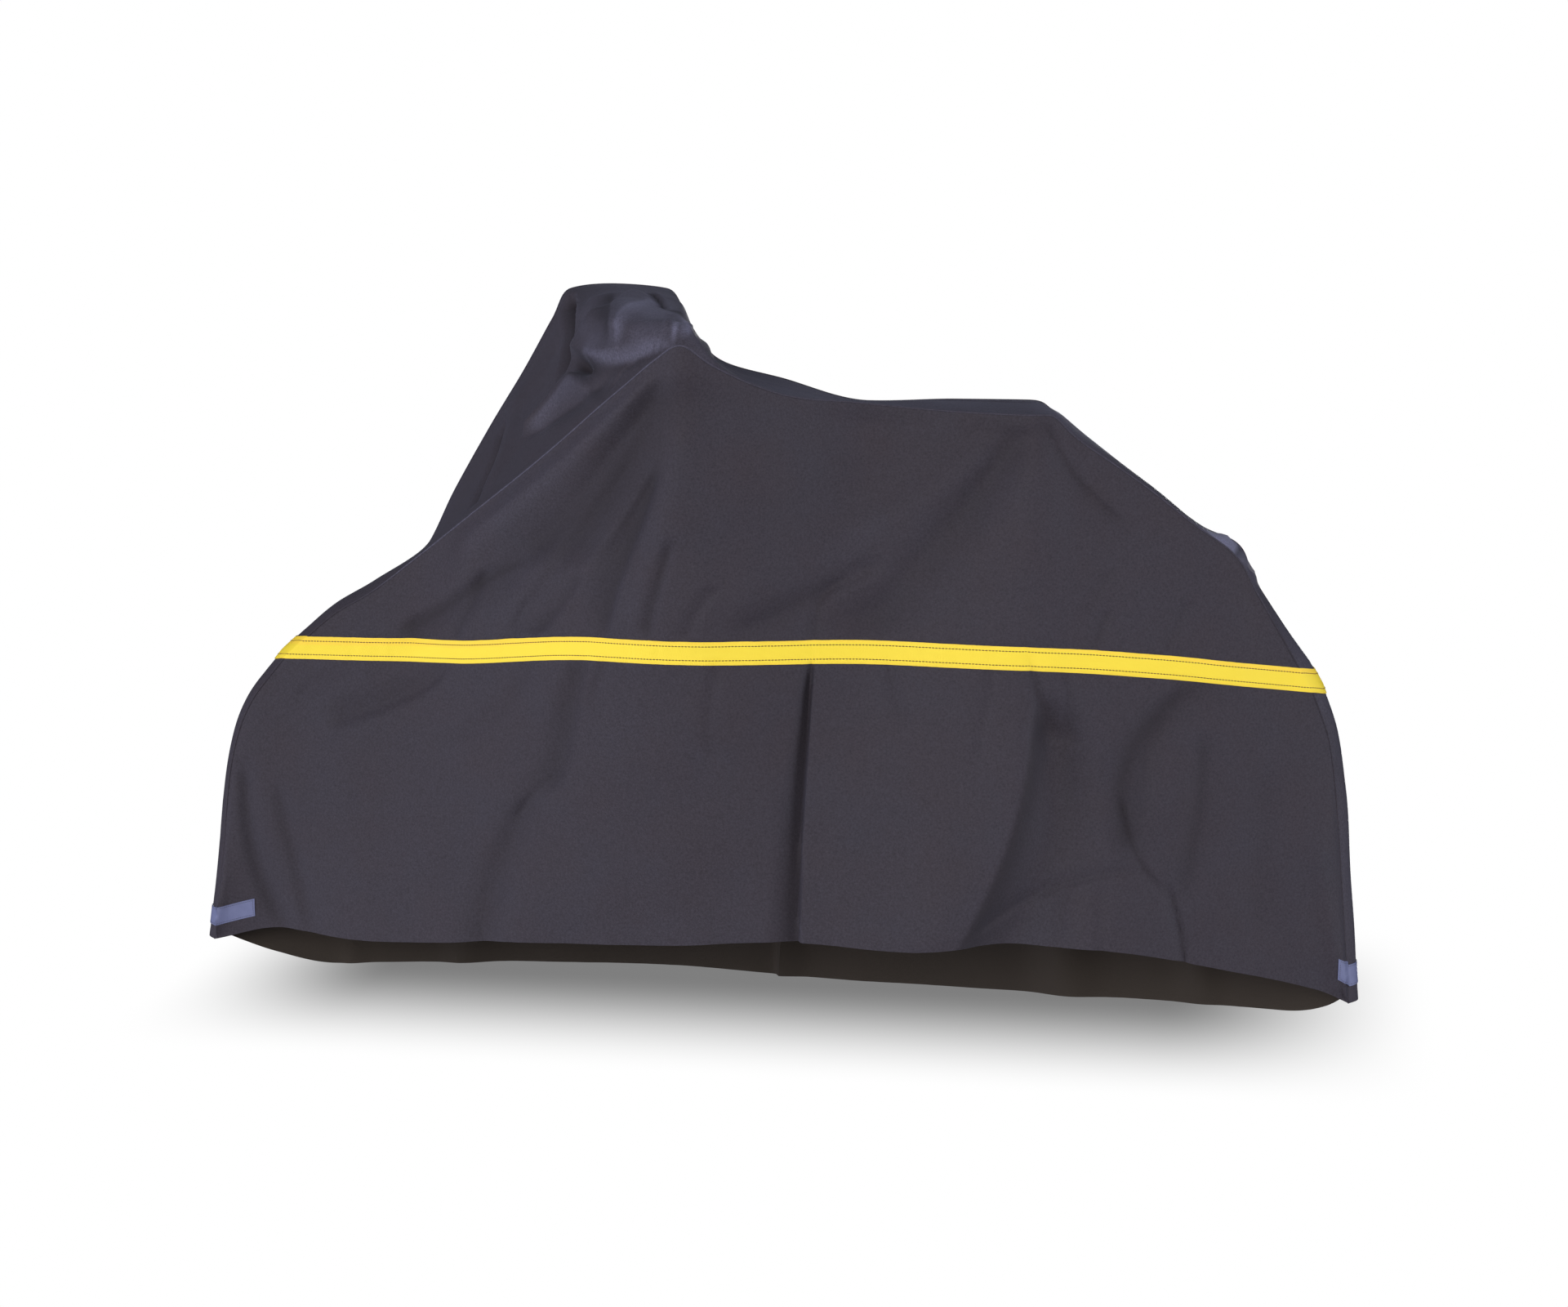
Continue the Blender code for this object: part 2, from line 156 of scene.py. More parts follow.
# ------------------------------------------------------------------ folds
# Each fold: depth (+ stands out), half-width at its start and end on its upper-left side,
# the same on its other side, crisp (1) or soft (0), and its route over the cloth as x, z
NEAR_FOLDS = (
    # taut ridge from the near grip along the seam, the fall on its lower side, its crisp end
    (0.015, 0.016, 0.040, 0.026, 0.044, 0,
     ((-0.150, 1.015), (-0.211, 0.960), (-0.278, 0.898), (-0.363, 0.823), (-0.449, 0.754),
      (-0.540, 0.680))),
    (-0.015, 0.024, 0.036, 0.056, 0.100, 0,
     ((-0.142, 1.008), (-0.180, 0.945), (-0.223, 0.871), (-0.275, 0.805), (-0.330, 0.745),
      (-0.400, 0.682))),
    (-0.009, 0.016, 0.014, 0.032, 0.022, 0,
     ((-0.372, 0.706), (-0.420, 0.684), (-0.474, 0.652), (-0.532, 0.614), (-0.620, 0.562))),
    # streaks between the ridge and the second grip fold
    (0.004, 0.010, 0.018, 0.010, 0.018, 0,
     ((-0.170, 0.947), (-0.237, 0.858), (-0.304, 0.767), (-0.370, 0.680), (-0.420, 0.600))),
    (-0.003, 0.008, 0.014, 0.008, 0.014, 0,
     ((-0.183, 0.898), (-0.249, 0.802), (-0.303, 0.731), (-0.359, 0.651), (-0.395, 0.590))),
    (0.004, 0.008, 0.014, 0.008, 0.014, 0,
     ((-0.165, 0.880), (-0.228, 0.773), (-0.282, 0.695), (-0.335, 0.600))),
    (-0.007, 0.016, 0.020, 0.007, 0.009, 0,
     ((-0.285, 0.700), (-0.319, 0.643), (-0.375, 0.588))),
    # second grip fold, narrow and straight
    (-0.010, 0.022, 0.030, 0.007, 0.010, 0,
     ((-0.162, 0.880), (-0.168, 0.850), (-0.179, 0.812), (-0.199, 0.758), (-0.223, 0.700),
      (-0.240, 0.645), (-0.250, 0.585))),
    (0.004, 0.012, 0.016, 0.020, 0.030, 0,
     ((-0.128, 0.940), (-0.136, 0.876), (-0.155, 0.778), (-0.185, 0.680), (-0.200, 0.600))),
    (-0.006, 0.012, 0.016, 0.007, 0.009, 0,
     ((-0.142, 0.760), (-0.150, 0.717), (-0.166, 0.661), (-0.176, 0.590))),
    (-0.004, 0.012, 0.016, 0.007, 0.009, 0,
     ((-0.068, 0.690), (-0.095, 0.655), (-0.120, 0.595))),
    (-0.004, 0.010, 0.014, 0.008, 0.010, 0,
     ((-0.450, 0.690), (-0.472, 0.640), (-0.510, 0.565))),
    (-0.003, 0.008, 0.012, 0.008, 0.010, 0,
     ((-0.375, 0.650), (-0.395, 0.610), (-0.415, 0.575))),
    # from the saddle down towards the front
    (-0.008, 0.040, 0.060, 0.040, 0.060, 0,
     ((0.400, 0.955), (0.287, 0.895), (0.179, 0.830), (0.075, 0.765), (-0.040, 0.700))),
    (0.007, 0.030, 0.040, 0.026, 0.034, 0,
     ((0.370, 0.915), (0.241, 0.836), (0.133, 0.772), (0.032, 0.710), (-0.080, 0.640))),
    (-0.013, 0.022, 0.044, 0.028, 0.056, 0,
     ((0.380, 0.945), (0.320, 0.853), (0.268, 0.779), (0.221, 0.717), (0.169, 0.655), (0.115, 0.590))),
    (0.002, 0.030, 0.040, 0.040, 0.050, 0,
     ((0.372, 0.895), (0.311, 0.780), (0.253, 0.694), (0.190, 0.590))),
    (-0.008, 0.014, 0.020, 0.012, 0.016, 0,
     ((0.175, 0.716), (0.115, 0.696), (0.060, 0.664), (0.010, 0.638), (-0.070, 0.606))),
    (-0.005, 0.008, 0.010, 0.006, 0.008, 0,
     ((0.115, 0.700), (0.086, 0.680), (0.068, 0.650), (0.060, 0.595))),
    (-0.006, 0.012, 0.014, 0.006, 0.009, 0,
     ((0.372, 0.965), (0.409, 0.897), (0.434, 0.854), (0.474, 0.811), (0.530, 0.758))),
    (-0.003, 0.010, 0.014, 0.008, 0.010, 0,
     ((0.498, 0.712), (0.471, 0.666), (0.455, 0.640))),
    (-0.004, 0.010, 0.012, 0.006, 0.008, 0,
     ((0.500, 0.655), (0.488, 0.620), (0.478, 0.590))),
    (-0.004, 0.010, 0.012, 0.006, 0.008, 0,
     ((0.618, 0.668), (0.600, 0.630), (0.580, 0.585))),
    # broad soft fill between the grip and the saddle
    (0.010, 0.110, 0.110, 0.110, 0.110, 0,
     ((0.120, 1.050), (0.120, 0.900), (0.115, 0.760), (0.110, 0.620))),
    # the packing crease through the middle, crisp on its right
    (-0.016, 0.006, 0.048, 0.003, 0.004, 1,
     ((0.063, 0.612), (0.062, 0.564), (0.059, 0.485), (0.055, 0.399), (0.053, 0.338),
      (0.052, 0.264), (0.050, 0.050))),
    # the deep fall before the rear wheel, crisp along its left
    (-0.007, 0.004, 0.004, 0.016, 0.020, 1,
     ((0.376, 0.610), (0.388, 0.564), (0.396, 0.528), (0.400, 0.440))),
    (0.010, 0.080, 0.110, 0.012, 0.014, 0,
     ((0.398, 0.540), (0.395, 0.443), (0.389, 0.394), (0.376, 0.346), (0.361, 0.284),
      (0.338, 0.223), (0.304, 0.159), (0.270, 0.090))),
    (-0.034, 0.014, 0.050, 0.040, 0.090, 0,
     ((0.406, 0.540), (0.412, 0.480), (0.418, 0.431), (0.425, 0.380), (0.424, 0.321),
      (0.412, 0.260), (0.392, 0.205), (0.360, 0.130), (0.330, 0.060))),
    (-0.004, 0.010, 0.012, 0.010, 0.012, 0,
     ((0.426, 0.580), (0.440, 0.545), (0.448, 0.505), (0.447, 0.440))),
    # falls at the rear
    (-0.008, 0.016, 0.022, 0.034, 0.044, 0,
     ((0.645, 0.560), (0.614, 0.528), (0.577, 0.495), (0.547, 0.458), (0.533, 0.412),
      (0.527, 0.350), (0.530, 0.270))),
    (-0.004, 0.012, 0.016, 0.012, 0.016, 0,
     ((0.592, 0.500), (0.572, 0.465), (0.562, 0.416), (0.560, 0.330))),
    (-0.0055, 0.014, 0.012, 0.004, 0.004, 1,
     ((0.526, 0.380), (0.533, 0.345), (0.549, 0.295), (0.568, 0.259), (0.598, 0.222))),
    (-0.006, 0.014, 0.016, 0.004, 0.004, 1,
     ((0.592, 0.250), (0.602, 0.230), (0.613, 0.199), (0.623, 0.155), (0.634, 0.060))),
    (-0.005, 0.016, 0.020, 0.018, 0.022, 0,
     ((0.645, 0.480), (0.645, 0.430), (0.643, 0.365), (0.634, 0.291), (0.620, 0.200))),
    (-0.004, 0.003, 0.003, 0.016, 0.020, 1,
     ((0.290, 0.142), (0.320, 0.168), (0.361, 0.196), (0.415, 0.225), (0.480, 0.248), (0.575, 0.258))),
    (-0.003, 0.010, 0.012, 0.010, 0.012, 0,
     ((0.450, 0.240), (0.444, 0.200), (0.440, 0.120))),
    (-0.003, 0.010, 0.012, 0.010, 0.012, 0,
     ((0.500, 0.245), (0.502, 0.200), (0.508, 0.110))),
    (-0.003, 0.018, 0.024, 0.018, 0.024, 0,
     ((0.735, 0.420), (0.735, 0.300), (0.730, 0.140))),
    # upright ridge before the rear seam, down to the label
    (0.005, 0.020, 0.016, 0.010, 0.006, 0,
     ((0.824, 0.320), (0.834, 0.231), (0.847, 0.154), (0.858, 0.080), (0.866, 0.010))),
    # the front half below the band
    (-0.008, 0.022, 0.030, 0.005, 0.014, 0,
     ((-0.495, 0.558), (-0.512, 0.532), (-0.545, 0.502), (-0.590, 0.475), (-0.640, 0.455),
      (-0.730, 0.432))),
    (-0.004, 0.014, 0.022, 0.008, 0.016, 0,
     ((-0.362, 0.575), (-0.372, 0.545), (-0.392, 0.505), (-0.438, 0.460), (-0.510, 0.408))),
    (-0.008, 0.022, 0.030, 0.010, 0.016, 0,
     ((-0.278, 0.585), (-0.284, 0.557), (-0.299, 0.496), (-0.309, 0.438), (-0.322, 0.393),
      (-0.352, 0.340))),
    (-0.0022, 0.006, 0.008, 0.010, 0.012, 1,
     ((-0.316, 0.395), (-0.324, 0.383), (-0.347, 0.362), (-0.374, 0.335), (-0.394, 0.300))),
    (-0.009, 0.020, 0.030, 0.020, 0.030, 0,
     ((-0.350, 0.380), (-0.370, 0.338), (-0.397, 0.280), (-0.420, 0.225), (-0.437, 0.160),
      (-0.460, 0.050))),
    (-0.003, 0.010, 0.012, 0.008, 0.010, 0,
     ((-0.240, 0.580), (-0.250, 0.545), (-0.275, 0.485))),
    (-0.008, 0.010, 0.014, 0.014, 0.020, 0,
     ((-0.866, 0.370), (-0.861, 0.325), (-0.853, 0.245), (-0.839, 0.186), (-0.818, 0.134),
      (-0.780, 0.060))),
    (-0.006, 0.012, 0.014, 0.014, 0.020, 0,
     ((-0.808, 0.340), (-0.797, 0.291), (-0.780, 0.226), (-0.763, 0.162), (-0.745, 0.060))),
    (-0.003, 0.010, 0.012, 0.010, 0.012, 0,
     ((-0.066, 0.590), (-0.072, 0.565), (-0.081, 0.522), (-0.083, 0.460), (-0.070, 0.400))),
    (-0.003, 0.008, 0.012, 0.008, 0.010, 0,
     ((0.174, 0.585), (0.181, 0.555), (0.192, 0.511), (0.212, 0.465))),
    (-0.003, 0.010, 0.012, 0.008, 0.010, 0,
     ((0.334, 0.585), (0.331, 0.560), (0.325, 0.503), (0.312, 0.415))),
    (-0.003, 0.010, 0.014, 0.008, 0.012, 0,
     ((-0.670, 0.530), (-0.692, 0.514), (-0.731, 0.488), (-0.785, 0.458))),
)
FAR_FOLDS = (
    (-0.018, 0.012, 0.036, 0.012, 0.040, 0,
     ((-0.260, 1.050), (-0.330, 0.930), (-0.420, 0.800), (-0.500, 0.680), (-0.560, 0.560))),
    (0.005, 0.012, 0.018, 0.012, 0.018, 0,
     ((-0.290, 1.050), (-0.380, 0.920), (-0.460, 0.800), (-0.560, 0.690))),
    (-0.010, 0.010, 0.030, 0.010, 0.030, 0,
     ((-0.238, 1.050), (-0.262, 0.930), (-0.290, 0.780), (-0.300, 0.600))),
    (-0.004, 0.008, 0.012, 0.008, 0.012, 0,
     ((-0.250, 1.020), (-0.300, 0.880), (-0.350, 0.740), (-0.400, 0.590))),
    (0.005, 0.009, 0.016, 0.009, 0.016, 0,
     ((-0.225, 1.030), (-0.230, 0.900), (-0.240, 0.760), (-0.236, 0.610))),
    (-0.009, 0.010, 0.026, 0.010, 0.026, 0,
     ((-0.200, 1.000), (-0.180, 0.880), (-0.140, 0.740), (-0.090, 0.590))),
    (-0.004, 0.008, 0.012, 0.008, 0.012, 0,
     ((-0.210, 0.990), (-0.200, 0.860), (-0.185, 0.720), (-0.180, 0.580))),
    (-0.013, 0.012, 0.036, 0.014, 0.040, 0,
     ((0.350, 0.925), (0.280, 0.830), (0.190, 0.720), (0.080, 0.590))),
    (0.006, 0.012, 0.024, 0.012, 0.024, 0,
     ((0.360, 0.910), (0.310, 0.800), (0.240, 0.690), (0.150, 0.590))),
    (-0.006, 0.010, 0.020, 0.010, 0.020, 0,
     ((0.370, 0.905), (0.350, 0.800), (0.310, 0.690), (0.270, 0.580))),
    (-0.008, 0.010, 0.026, 0.010, 0.026, 0,
     ((0.400, 0.895), (0.450, 0.800), (0.510, 0.700), (0.560, 0.600))),
    (-0.004, 0.008, 0.012, 0.008, 0.012, 0,
     ((0.395, 0.890), (0.410, 0.790), (0.430, 0.690))),
    (-0.005, 0.010, 0.014, 0.010, 0.014, 0,
     ((0.100, 0.760), (0.030, 0.720), (-0.050, 0.690))),
    (-0.018, 0.004, 0.004, 0.012, 0.046, 1,
     ((-0.020, 0.560), (-0.022, 0.450), (-0.026, 0.300), (-0.030, 0.150), (-0.036, -0.080))),
    (-0.026, 0.016, 0.050, 0.018, 0.060, 0,
     ((0.345, 0.540), (0.375, 0.420), (0.402, 0.280), (0.420, 0.140), (0.440, -0.080))),
    (-0.008, 0.014, 0.020, 0.014, 0.020, 0,
     ((0.280, 0.500), (0.275, 0.380), (0.250, 0.240), (0.235, 0.120))),
    (-0.012, 0.014, 0.030, 0.014, 0.034, 0,
     ((0.600, 0.520), (0.612, 0.380), (0.625, 0.230), (0.640, 0.080), (0.645, -0.060))),
    (-0.006, 0.010, 0.016, 0.010, 0.016, 0,
     ((0.700, 0.480), (0.690, 0.330), (0.700, 0.180), (0.720, 0.060))),
    (-0.020, 0.016, 0.040, 0.018, 0.046, 0,
     ((-0.400, 0.540), (-0.425, 0.420), (-0.480, 0.270), (-0.530, 0.100), (-0.560, -0.080))),
    (-0.008, 0.012, 0.020, 0.012, 0.020, 0,
     ((-0.240, 0.530), (-0.225, 0.400), (-0.230, 0.250), (-0.250, 0.100))),
    (-0.006, 0.010, 0.018, 0.010, 0.018, 0,
     ((0.120, 0.520), (0.130, 0.400), (0.120, 0.260), (0.100, 0.110))),
    (-0.007, 0.008, 0.014, 0.008, 0.018, 0,
     ((-0.500, 0.540), (-0.580, 0.490), (-0.690, 0.450))),
    (-0.007, 0.012, 0.018, 0.012, 0.020, 0,
     ((-0.790, 0.400), (-0.770, 0.260), (-0.740, 0.110), (-0.720, -0.060))),
    (-0.005, 0.010, 0.016, 0.010, 0.016, 0,
     ((-0.700, 0.400), (-0.680, 0.280), (-0.660, 0.140))),
)
SPREAD = 0.13           # how far each way the seam's sideways place is averaged, at the hem
SPREAD_SAMPLES = 13
SEAM_CALM = 0.035       # below the seam, where folds have not yet come to their full depth
NOSE_REACH = 8          # power: how close to a nose the cloth's columns start to follow it
BAND_HOLD = 0.45        # share of a fold that the sewn band holds flat
BAND_HOLD_REACH = 0.018
LEAST_HEIGHT = 0.001    # smallest height taken from hem to seam
LEAST_UPPER = 0.0005    # and from the band to the seam
SEAM_STEP = 0.004       # steps of a side's seam, over the top and up its noses
SEAM_NOSE_COUNT = 60
ARCH_SAMPLES = 4001
STEEPEST = 2.0          # a smooth curve's slope, at most, against the steps on its two sides

FOLD_FADE = 0.18        # share of a fold's route over which each of its ends rises
FOLD_REACH = 3.2        # half-widths from its route beyond which a fold is nothing
CRISP_FOOT = 0.0025     # rounding of a crisp fold's bottom
CRISP_EDGE = 0.16       # softness of its upper edges, as a share of its width
ROUTE_BEND = 4          # highest power in the curve laid along a route

# Ripples: how many waves, and the range of their sizes, as shares of the size asked for
WAVES = 7
WAVE_SIZES = (0.7, 1.6)
# Puckers: where they start and stop, how far each is shifted, the ranges of its tilt, width,
# length and height, as shares of what is asked for, and how far from its middle it counts
PUCKERS_START, PUCKERS_STOP = -0.95, 0.95
PUCKER_SHIFT = 0.45
PUCKER_TILT = (-0.5, 0.5)
PUCKER_WIDE = (0.18, 0.34)
PUCKER_LONG = (0.4, 1.5)
PUCKER_HIGH = (-1.0, 0.7)
PUCKER_REACH = 0.08

# Ripples: size, height. Puckers: step, reach, height
SIDE_RIPPLE = (0.16, 0.0016)
BAND_PUCKERS = (0.021, 0.030, 0.0016)
SEAM_PUCKERS = (0.024, 0.022, 0.0012)
HEM_PUCKERS = (0.032, 0.016, 0.0012)
CENTRE_RIPPLE = (0.13, 0.0006)
CENTRE_PUCKERS = (0.026, 0.018, 0.0008)
CENTRE_STOP = 2.8       # how far along the centre strip its puckers go
CENTRE_SEED = 71


# ------------------------------------------------------------------ working out the surface
def through(table, places):
    """Smooth monotone curve through the rows of a table whose first column is the place."""
    rows = np.array(table, dtype=float)
    xs = rows[:, 0]
    steps = np.diff(xs)[:, None]
    slopes = np.diff(rows[:, 1:], axis=0) / steps
    tangents = np.vstack([slopes[:1], (slopes[1:] + slopes[:-1]) / 2, slopes[-1:]])
    limit = STEEPEST * np.minimum(np.abs(slopes[1:]), np.abs(slopes[:-1]))
    inner = np.clip(tangents[1:-1], -limit, limit)
    tangents[1:-1] = np.where(slopes[1:] * slopes[:-1] > 0, inner, 0.0)
    places = np.asarray(places, dtype=float)
    i = np.clip(np.searchsorted(xs, places) - 1, 0, len(xs) - 2)
    h = (xs[i + 1] - xs[i])[..., None]
    t = np.clip((places - xs[i])[..., None] / h, 0.0, 1.0)
    t2, t3 = t * t, t * t * t
    return ((2 * t3 - 3 * t2 + 1) * rows[i, 1:] + (t3 - 2 * t2 + t) * h * tangents[i]
            + (3 * t2 - 2 * t3) * rows[i + 1, 1:] + (t3 - t2) * h * tangents[i + 1])


def ease(t):
    t = np.clip(t, 0.0, 1.0)
    return t * t * (3.0 - 2.0 * t)


def beside(route, x, z):
    """For each x, z: the share along a route that runs mostly down or mostly across, and how
    far aside the point is, + on the upper-left of a route that runs down."""
    route = np.array(route, dtype=float)
    run = route[-1] - route[0]
    down = abs(run[1]) >= abs(run[0])
    level, across = (z, x) if down else (x, z)
    way = route[:, 1] if down else route[:, 0]
    place = route[:, 0] if down else route[:, 1]
    start, stretch = way[0], way[-1] - way[0]
    bend = np.polyfit((way - start) / stretch, place, min(len(route) - 1, ROUTE_BEND))
    along = np.clip((level - start) / stretch, 0.0, 1.0)
    lean = np.polyval(np.polyder(bend), along) / stretch
    aside = (across - np.polyval(bend, along)) / np.sqrt(1.0 + lean ** 2)
    return along, -aside if down or run[0] > 0 else aside


def fold_depth(folds, x, z):
    """How far all folds together push the cloth out at x, z."""
    total = np.zeros(x.shape)
    for depth, left0, left1, right0, right1, crisp, points in folds:
        route = np.array(points)
        reach = FOLD_REACH * max(left0, left1, right0, right1)
        near = ((x > route[:, 0].min() - reach) & (x < route[:, 0].max() + reach)
                & (z > route[:, 1].min() - reach) & (z < route[:, 1].max() + reach))
        if not near.any():
            continue
        along, aside = beside(points, x[near], z[near])
        wide = np.where(aside > 0, left0 + (left1 - left0) * along,
                        right0 + (right1 - right0) * along)
        if crisp:
            share = 1.0 - (np.sqrt(aside ** 2 + CRISP_FOOT ** 2) - CRISP_FOOT) / wide
            form = (share + np.sqrt(share ** 2 + CRISP_EDGE ** 2)) / 2
        else:
            form = np.exp(-(aside / wide) ** 2)
        rise = ease(along / FOLD_FADE) * ease((1.0 - along) / FOLD_FADE)
        total[near] += depth * form * rise
    return total


def ripple(x, z, seed, size, amount):
    """Soft unevenness of cloth: a few crossing waves of about this size."""
    rng = np.random.default_rng(seed)
    total = np.zeros(x.shape)
    for _ in range(WAVES):
        angle = rng.uniform(0.0, math.pi)
        pitch = size * rng.uniform(*WAVE_SIZES)
        phase = rng.uniform(0.0, 2 * math.pi)
        total += np.sin((x * math.cos(angle) + z * math.sin(angle)) * 2 * math.pi / pitch + phase)
    return total * amount / WAVES ** 0.5


def puckers(x, away, seed, pitch, reach, amount, stop=PUCKERS_STOP):
    """Short gathers that a row of stitches draws into the cloth; away is the distance from it."""
    rng = np.random.default_rng(seed)
    places = np.arange(PUCKERS_START, stop, pitch)
    places = places + rng.uniform(-PUCKER_SHIFT, PUCKER_SHIFT, len(places)) * pitch
    total = np.zeros(x.shape)
    for place in places:
        tilt = rng.uniform(*PUCKER_TILT)
        wide = pitch * rng.uniform(*PUCKER_WIDE)
        long = reach * rng.uniform(*PUCKER_LONG)
        high = amount * rng.uniform(*PUCKER_HIGH)
        mask = np.abs(x - place) < PUCKER_REACH
        total[mask] += (high * np.exp(-((x[mask] - place - tilt * away[mask]) / wide) ** 2)
                        * np.exp(-(away[mask] / long) ** 2))
    return total


def arch_steps(first, step):
    """Places along ARCH about one step apart, measured along the seam that starts in this column."""
    fine = np.linspace(0, len(ARCH) - 1, ARCH_SAMPLES)
    line = through([(i, *row[first:first + 3]) for i, row in enumerate(ARCH)], fine)
    reached = np.concatenate([[0.0], np.cumsum(np.linalg.norm(np.diff(line, axis=0), axis=1))])
    count = int(round(reached[-1] / step)) + 1
    return np.interp(np.linspace(0.0, reached[-1], count), reached, fine)


class Side:
    """One side of the cover, from its hem up to its seam over the top."""

    def __init__(self, outward, hem, band, folds, nose_column, arch_column, seed, grain, rows):
        self.outward = outward
        self.hem = hem
        self.band = band
        self.folds = folds
        self.nose_column = nose_column
        self.arch_column = arch_column
        self.seed = seed
        self.grain = grain
        self.rows = rows
        share = np.linspace(0.0, 1.0, SEAM_NOSE_COUNT)
        arch = self.arch(arch_steps(arch_column, SEAM_STEP))
        front, rear = self.nose(FRONT_NOSE, share), self.nose(REAR_NOSE, share)
        self.seam = np.vstack([front, arch, rear[::-1]])
        self.first_x, self.last_x = arch[0, 0], arch[-1, 0]

    def arch(self, places):
        rows = [(i, *row[self.arch_column:self.arch_column + 3]) for i, row in enumerate(ARCH)]
        return through(rows, places)

    def nose(self, table, share):
        values = through(table, share)
        return np.stack([values[:, 0], values[:, self.nose_column], values[:, 3]], axis=1)

    def low_point(self, share, rise):
        """x, z on a straight line from the hem up to the band's lower edge."""
        hem_x = self.hem[0][0] + (self.hem[-1][0] - self.hem[0][0]) * share
        band_x = self.band[0][0] + (self.band[-1][0] - self.band[0][0]) * share
        hem_z = through(self.hem, hem_x)[..., 1]
        band_z = through(self.band, band_x)[..., 0]
        return hem_x + (band_x - hem_x) * rise, hem_z + (band_z - hem_z) * rise

    def low_grid(self, share, rise):
        """x, z between the hem and the band; its ends follow the two noses."""
        s, r = np.meshgrid(share, rise)
        x, z = self.low_point(s, r)
        for table, end, near in ((FRONT_NOSE, 0.0, 1.0 - s), (REAR_NOSE, 1.0, s)):
            line = self.nose(table, rise)
            end_x, end_z = self.low_point(np.full(rise.shape, end), rise)
            x = x + (line[:, 0] - end_x)[:, None] * near ** NOSE_REACH
            z = z + (line[:, 2] - end_z)[:, None] * near ** NOSE_REACH
        return x, z

    def high_grid(self, places, rise):
        """x, z between the band's upper edge and the seam over the top."""
        top = self.arch(places)
        low = np.minimum(through(self.band, top[:, 0])[:, 0] + BAND_WIDTH, top[:, 2] - LEAST_UPPER)
        x = np.broadcast_to(top[:, 0], (len(rise), len(places)))
        return x, low + (top[:, 2] - low) * rise[:, None]

    def surface(self, x, z):
        """The cloth's outer face at x, z."""
        hem_y, hem_z = np.moveaxis(through(self.hem, x), -1, 0)
        top_z = np.interp(x, self.seam[:, 0], self.seam[:, 2])
        share = np.clip((z - hem_z) / np.maximum(top_z - hem_z, LEAST_HEIGHT), 0.0, 1.0)
        reach = SPREAD * (1.0 - share)
        top_y = np.zeros(x.shape)
        for k in np.linspace(-1.0, 1.0, SPREAD_SAMPLES):
            top_y += np.interp(x + reach * k, self.seam[:, 0], self.seam[:, 1])
        top_y /= SPREAD_SAMPLES
        calm = ease((top_z - z) / SEAM_CALM)
        from_band = np.abs(z - through(self.band, x)[..., 0] - BAND_WIDTH / 2)
        held = 1.0 - BAND_HOLD * np.exp(-(from_band / BAND_HOLD_REACH) ** 2)
        out = BELLY * 4.0 * share * (1.0 - share)
        out += (fold_depth(self.folds, x, z) + ripple(x, z, self.seed, *SIDE_RIPPLE)) * calm * held
        beyond = np.maximum(from_band - BAND_WIDTH / 2, 0.0)
        out += puckers(x, beyond, self.seed + 1, *BAND_PUCKERS) * held * calm
        out += puckers(x, np.maximum(top_z - z, 0.0), self.seed + 2, *SEAM_PUCKERS) * calm
        out += puckers(x, np.maximum(z - hem_z, 0.0), self.seed + 3, *HEM_PUCKERS)
        return np.stack([x, hem_y + (top_y - hem_y) * share + self.outward * out, z], axis=-1)


NEAR = Side(-1.0, NEAR_HEM, NEAR_BAND, NEAR_FOLDS,
            nose_column=1, arch_column=0, seed=11, grain=0.0050, rows=98)
FAR = Side(1.0, FAR_HEM, FAR_BAND, FAR_FOLDS,
           nose_column=2, arch_column=3, seed=41, grain=0.0070, rows=74)


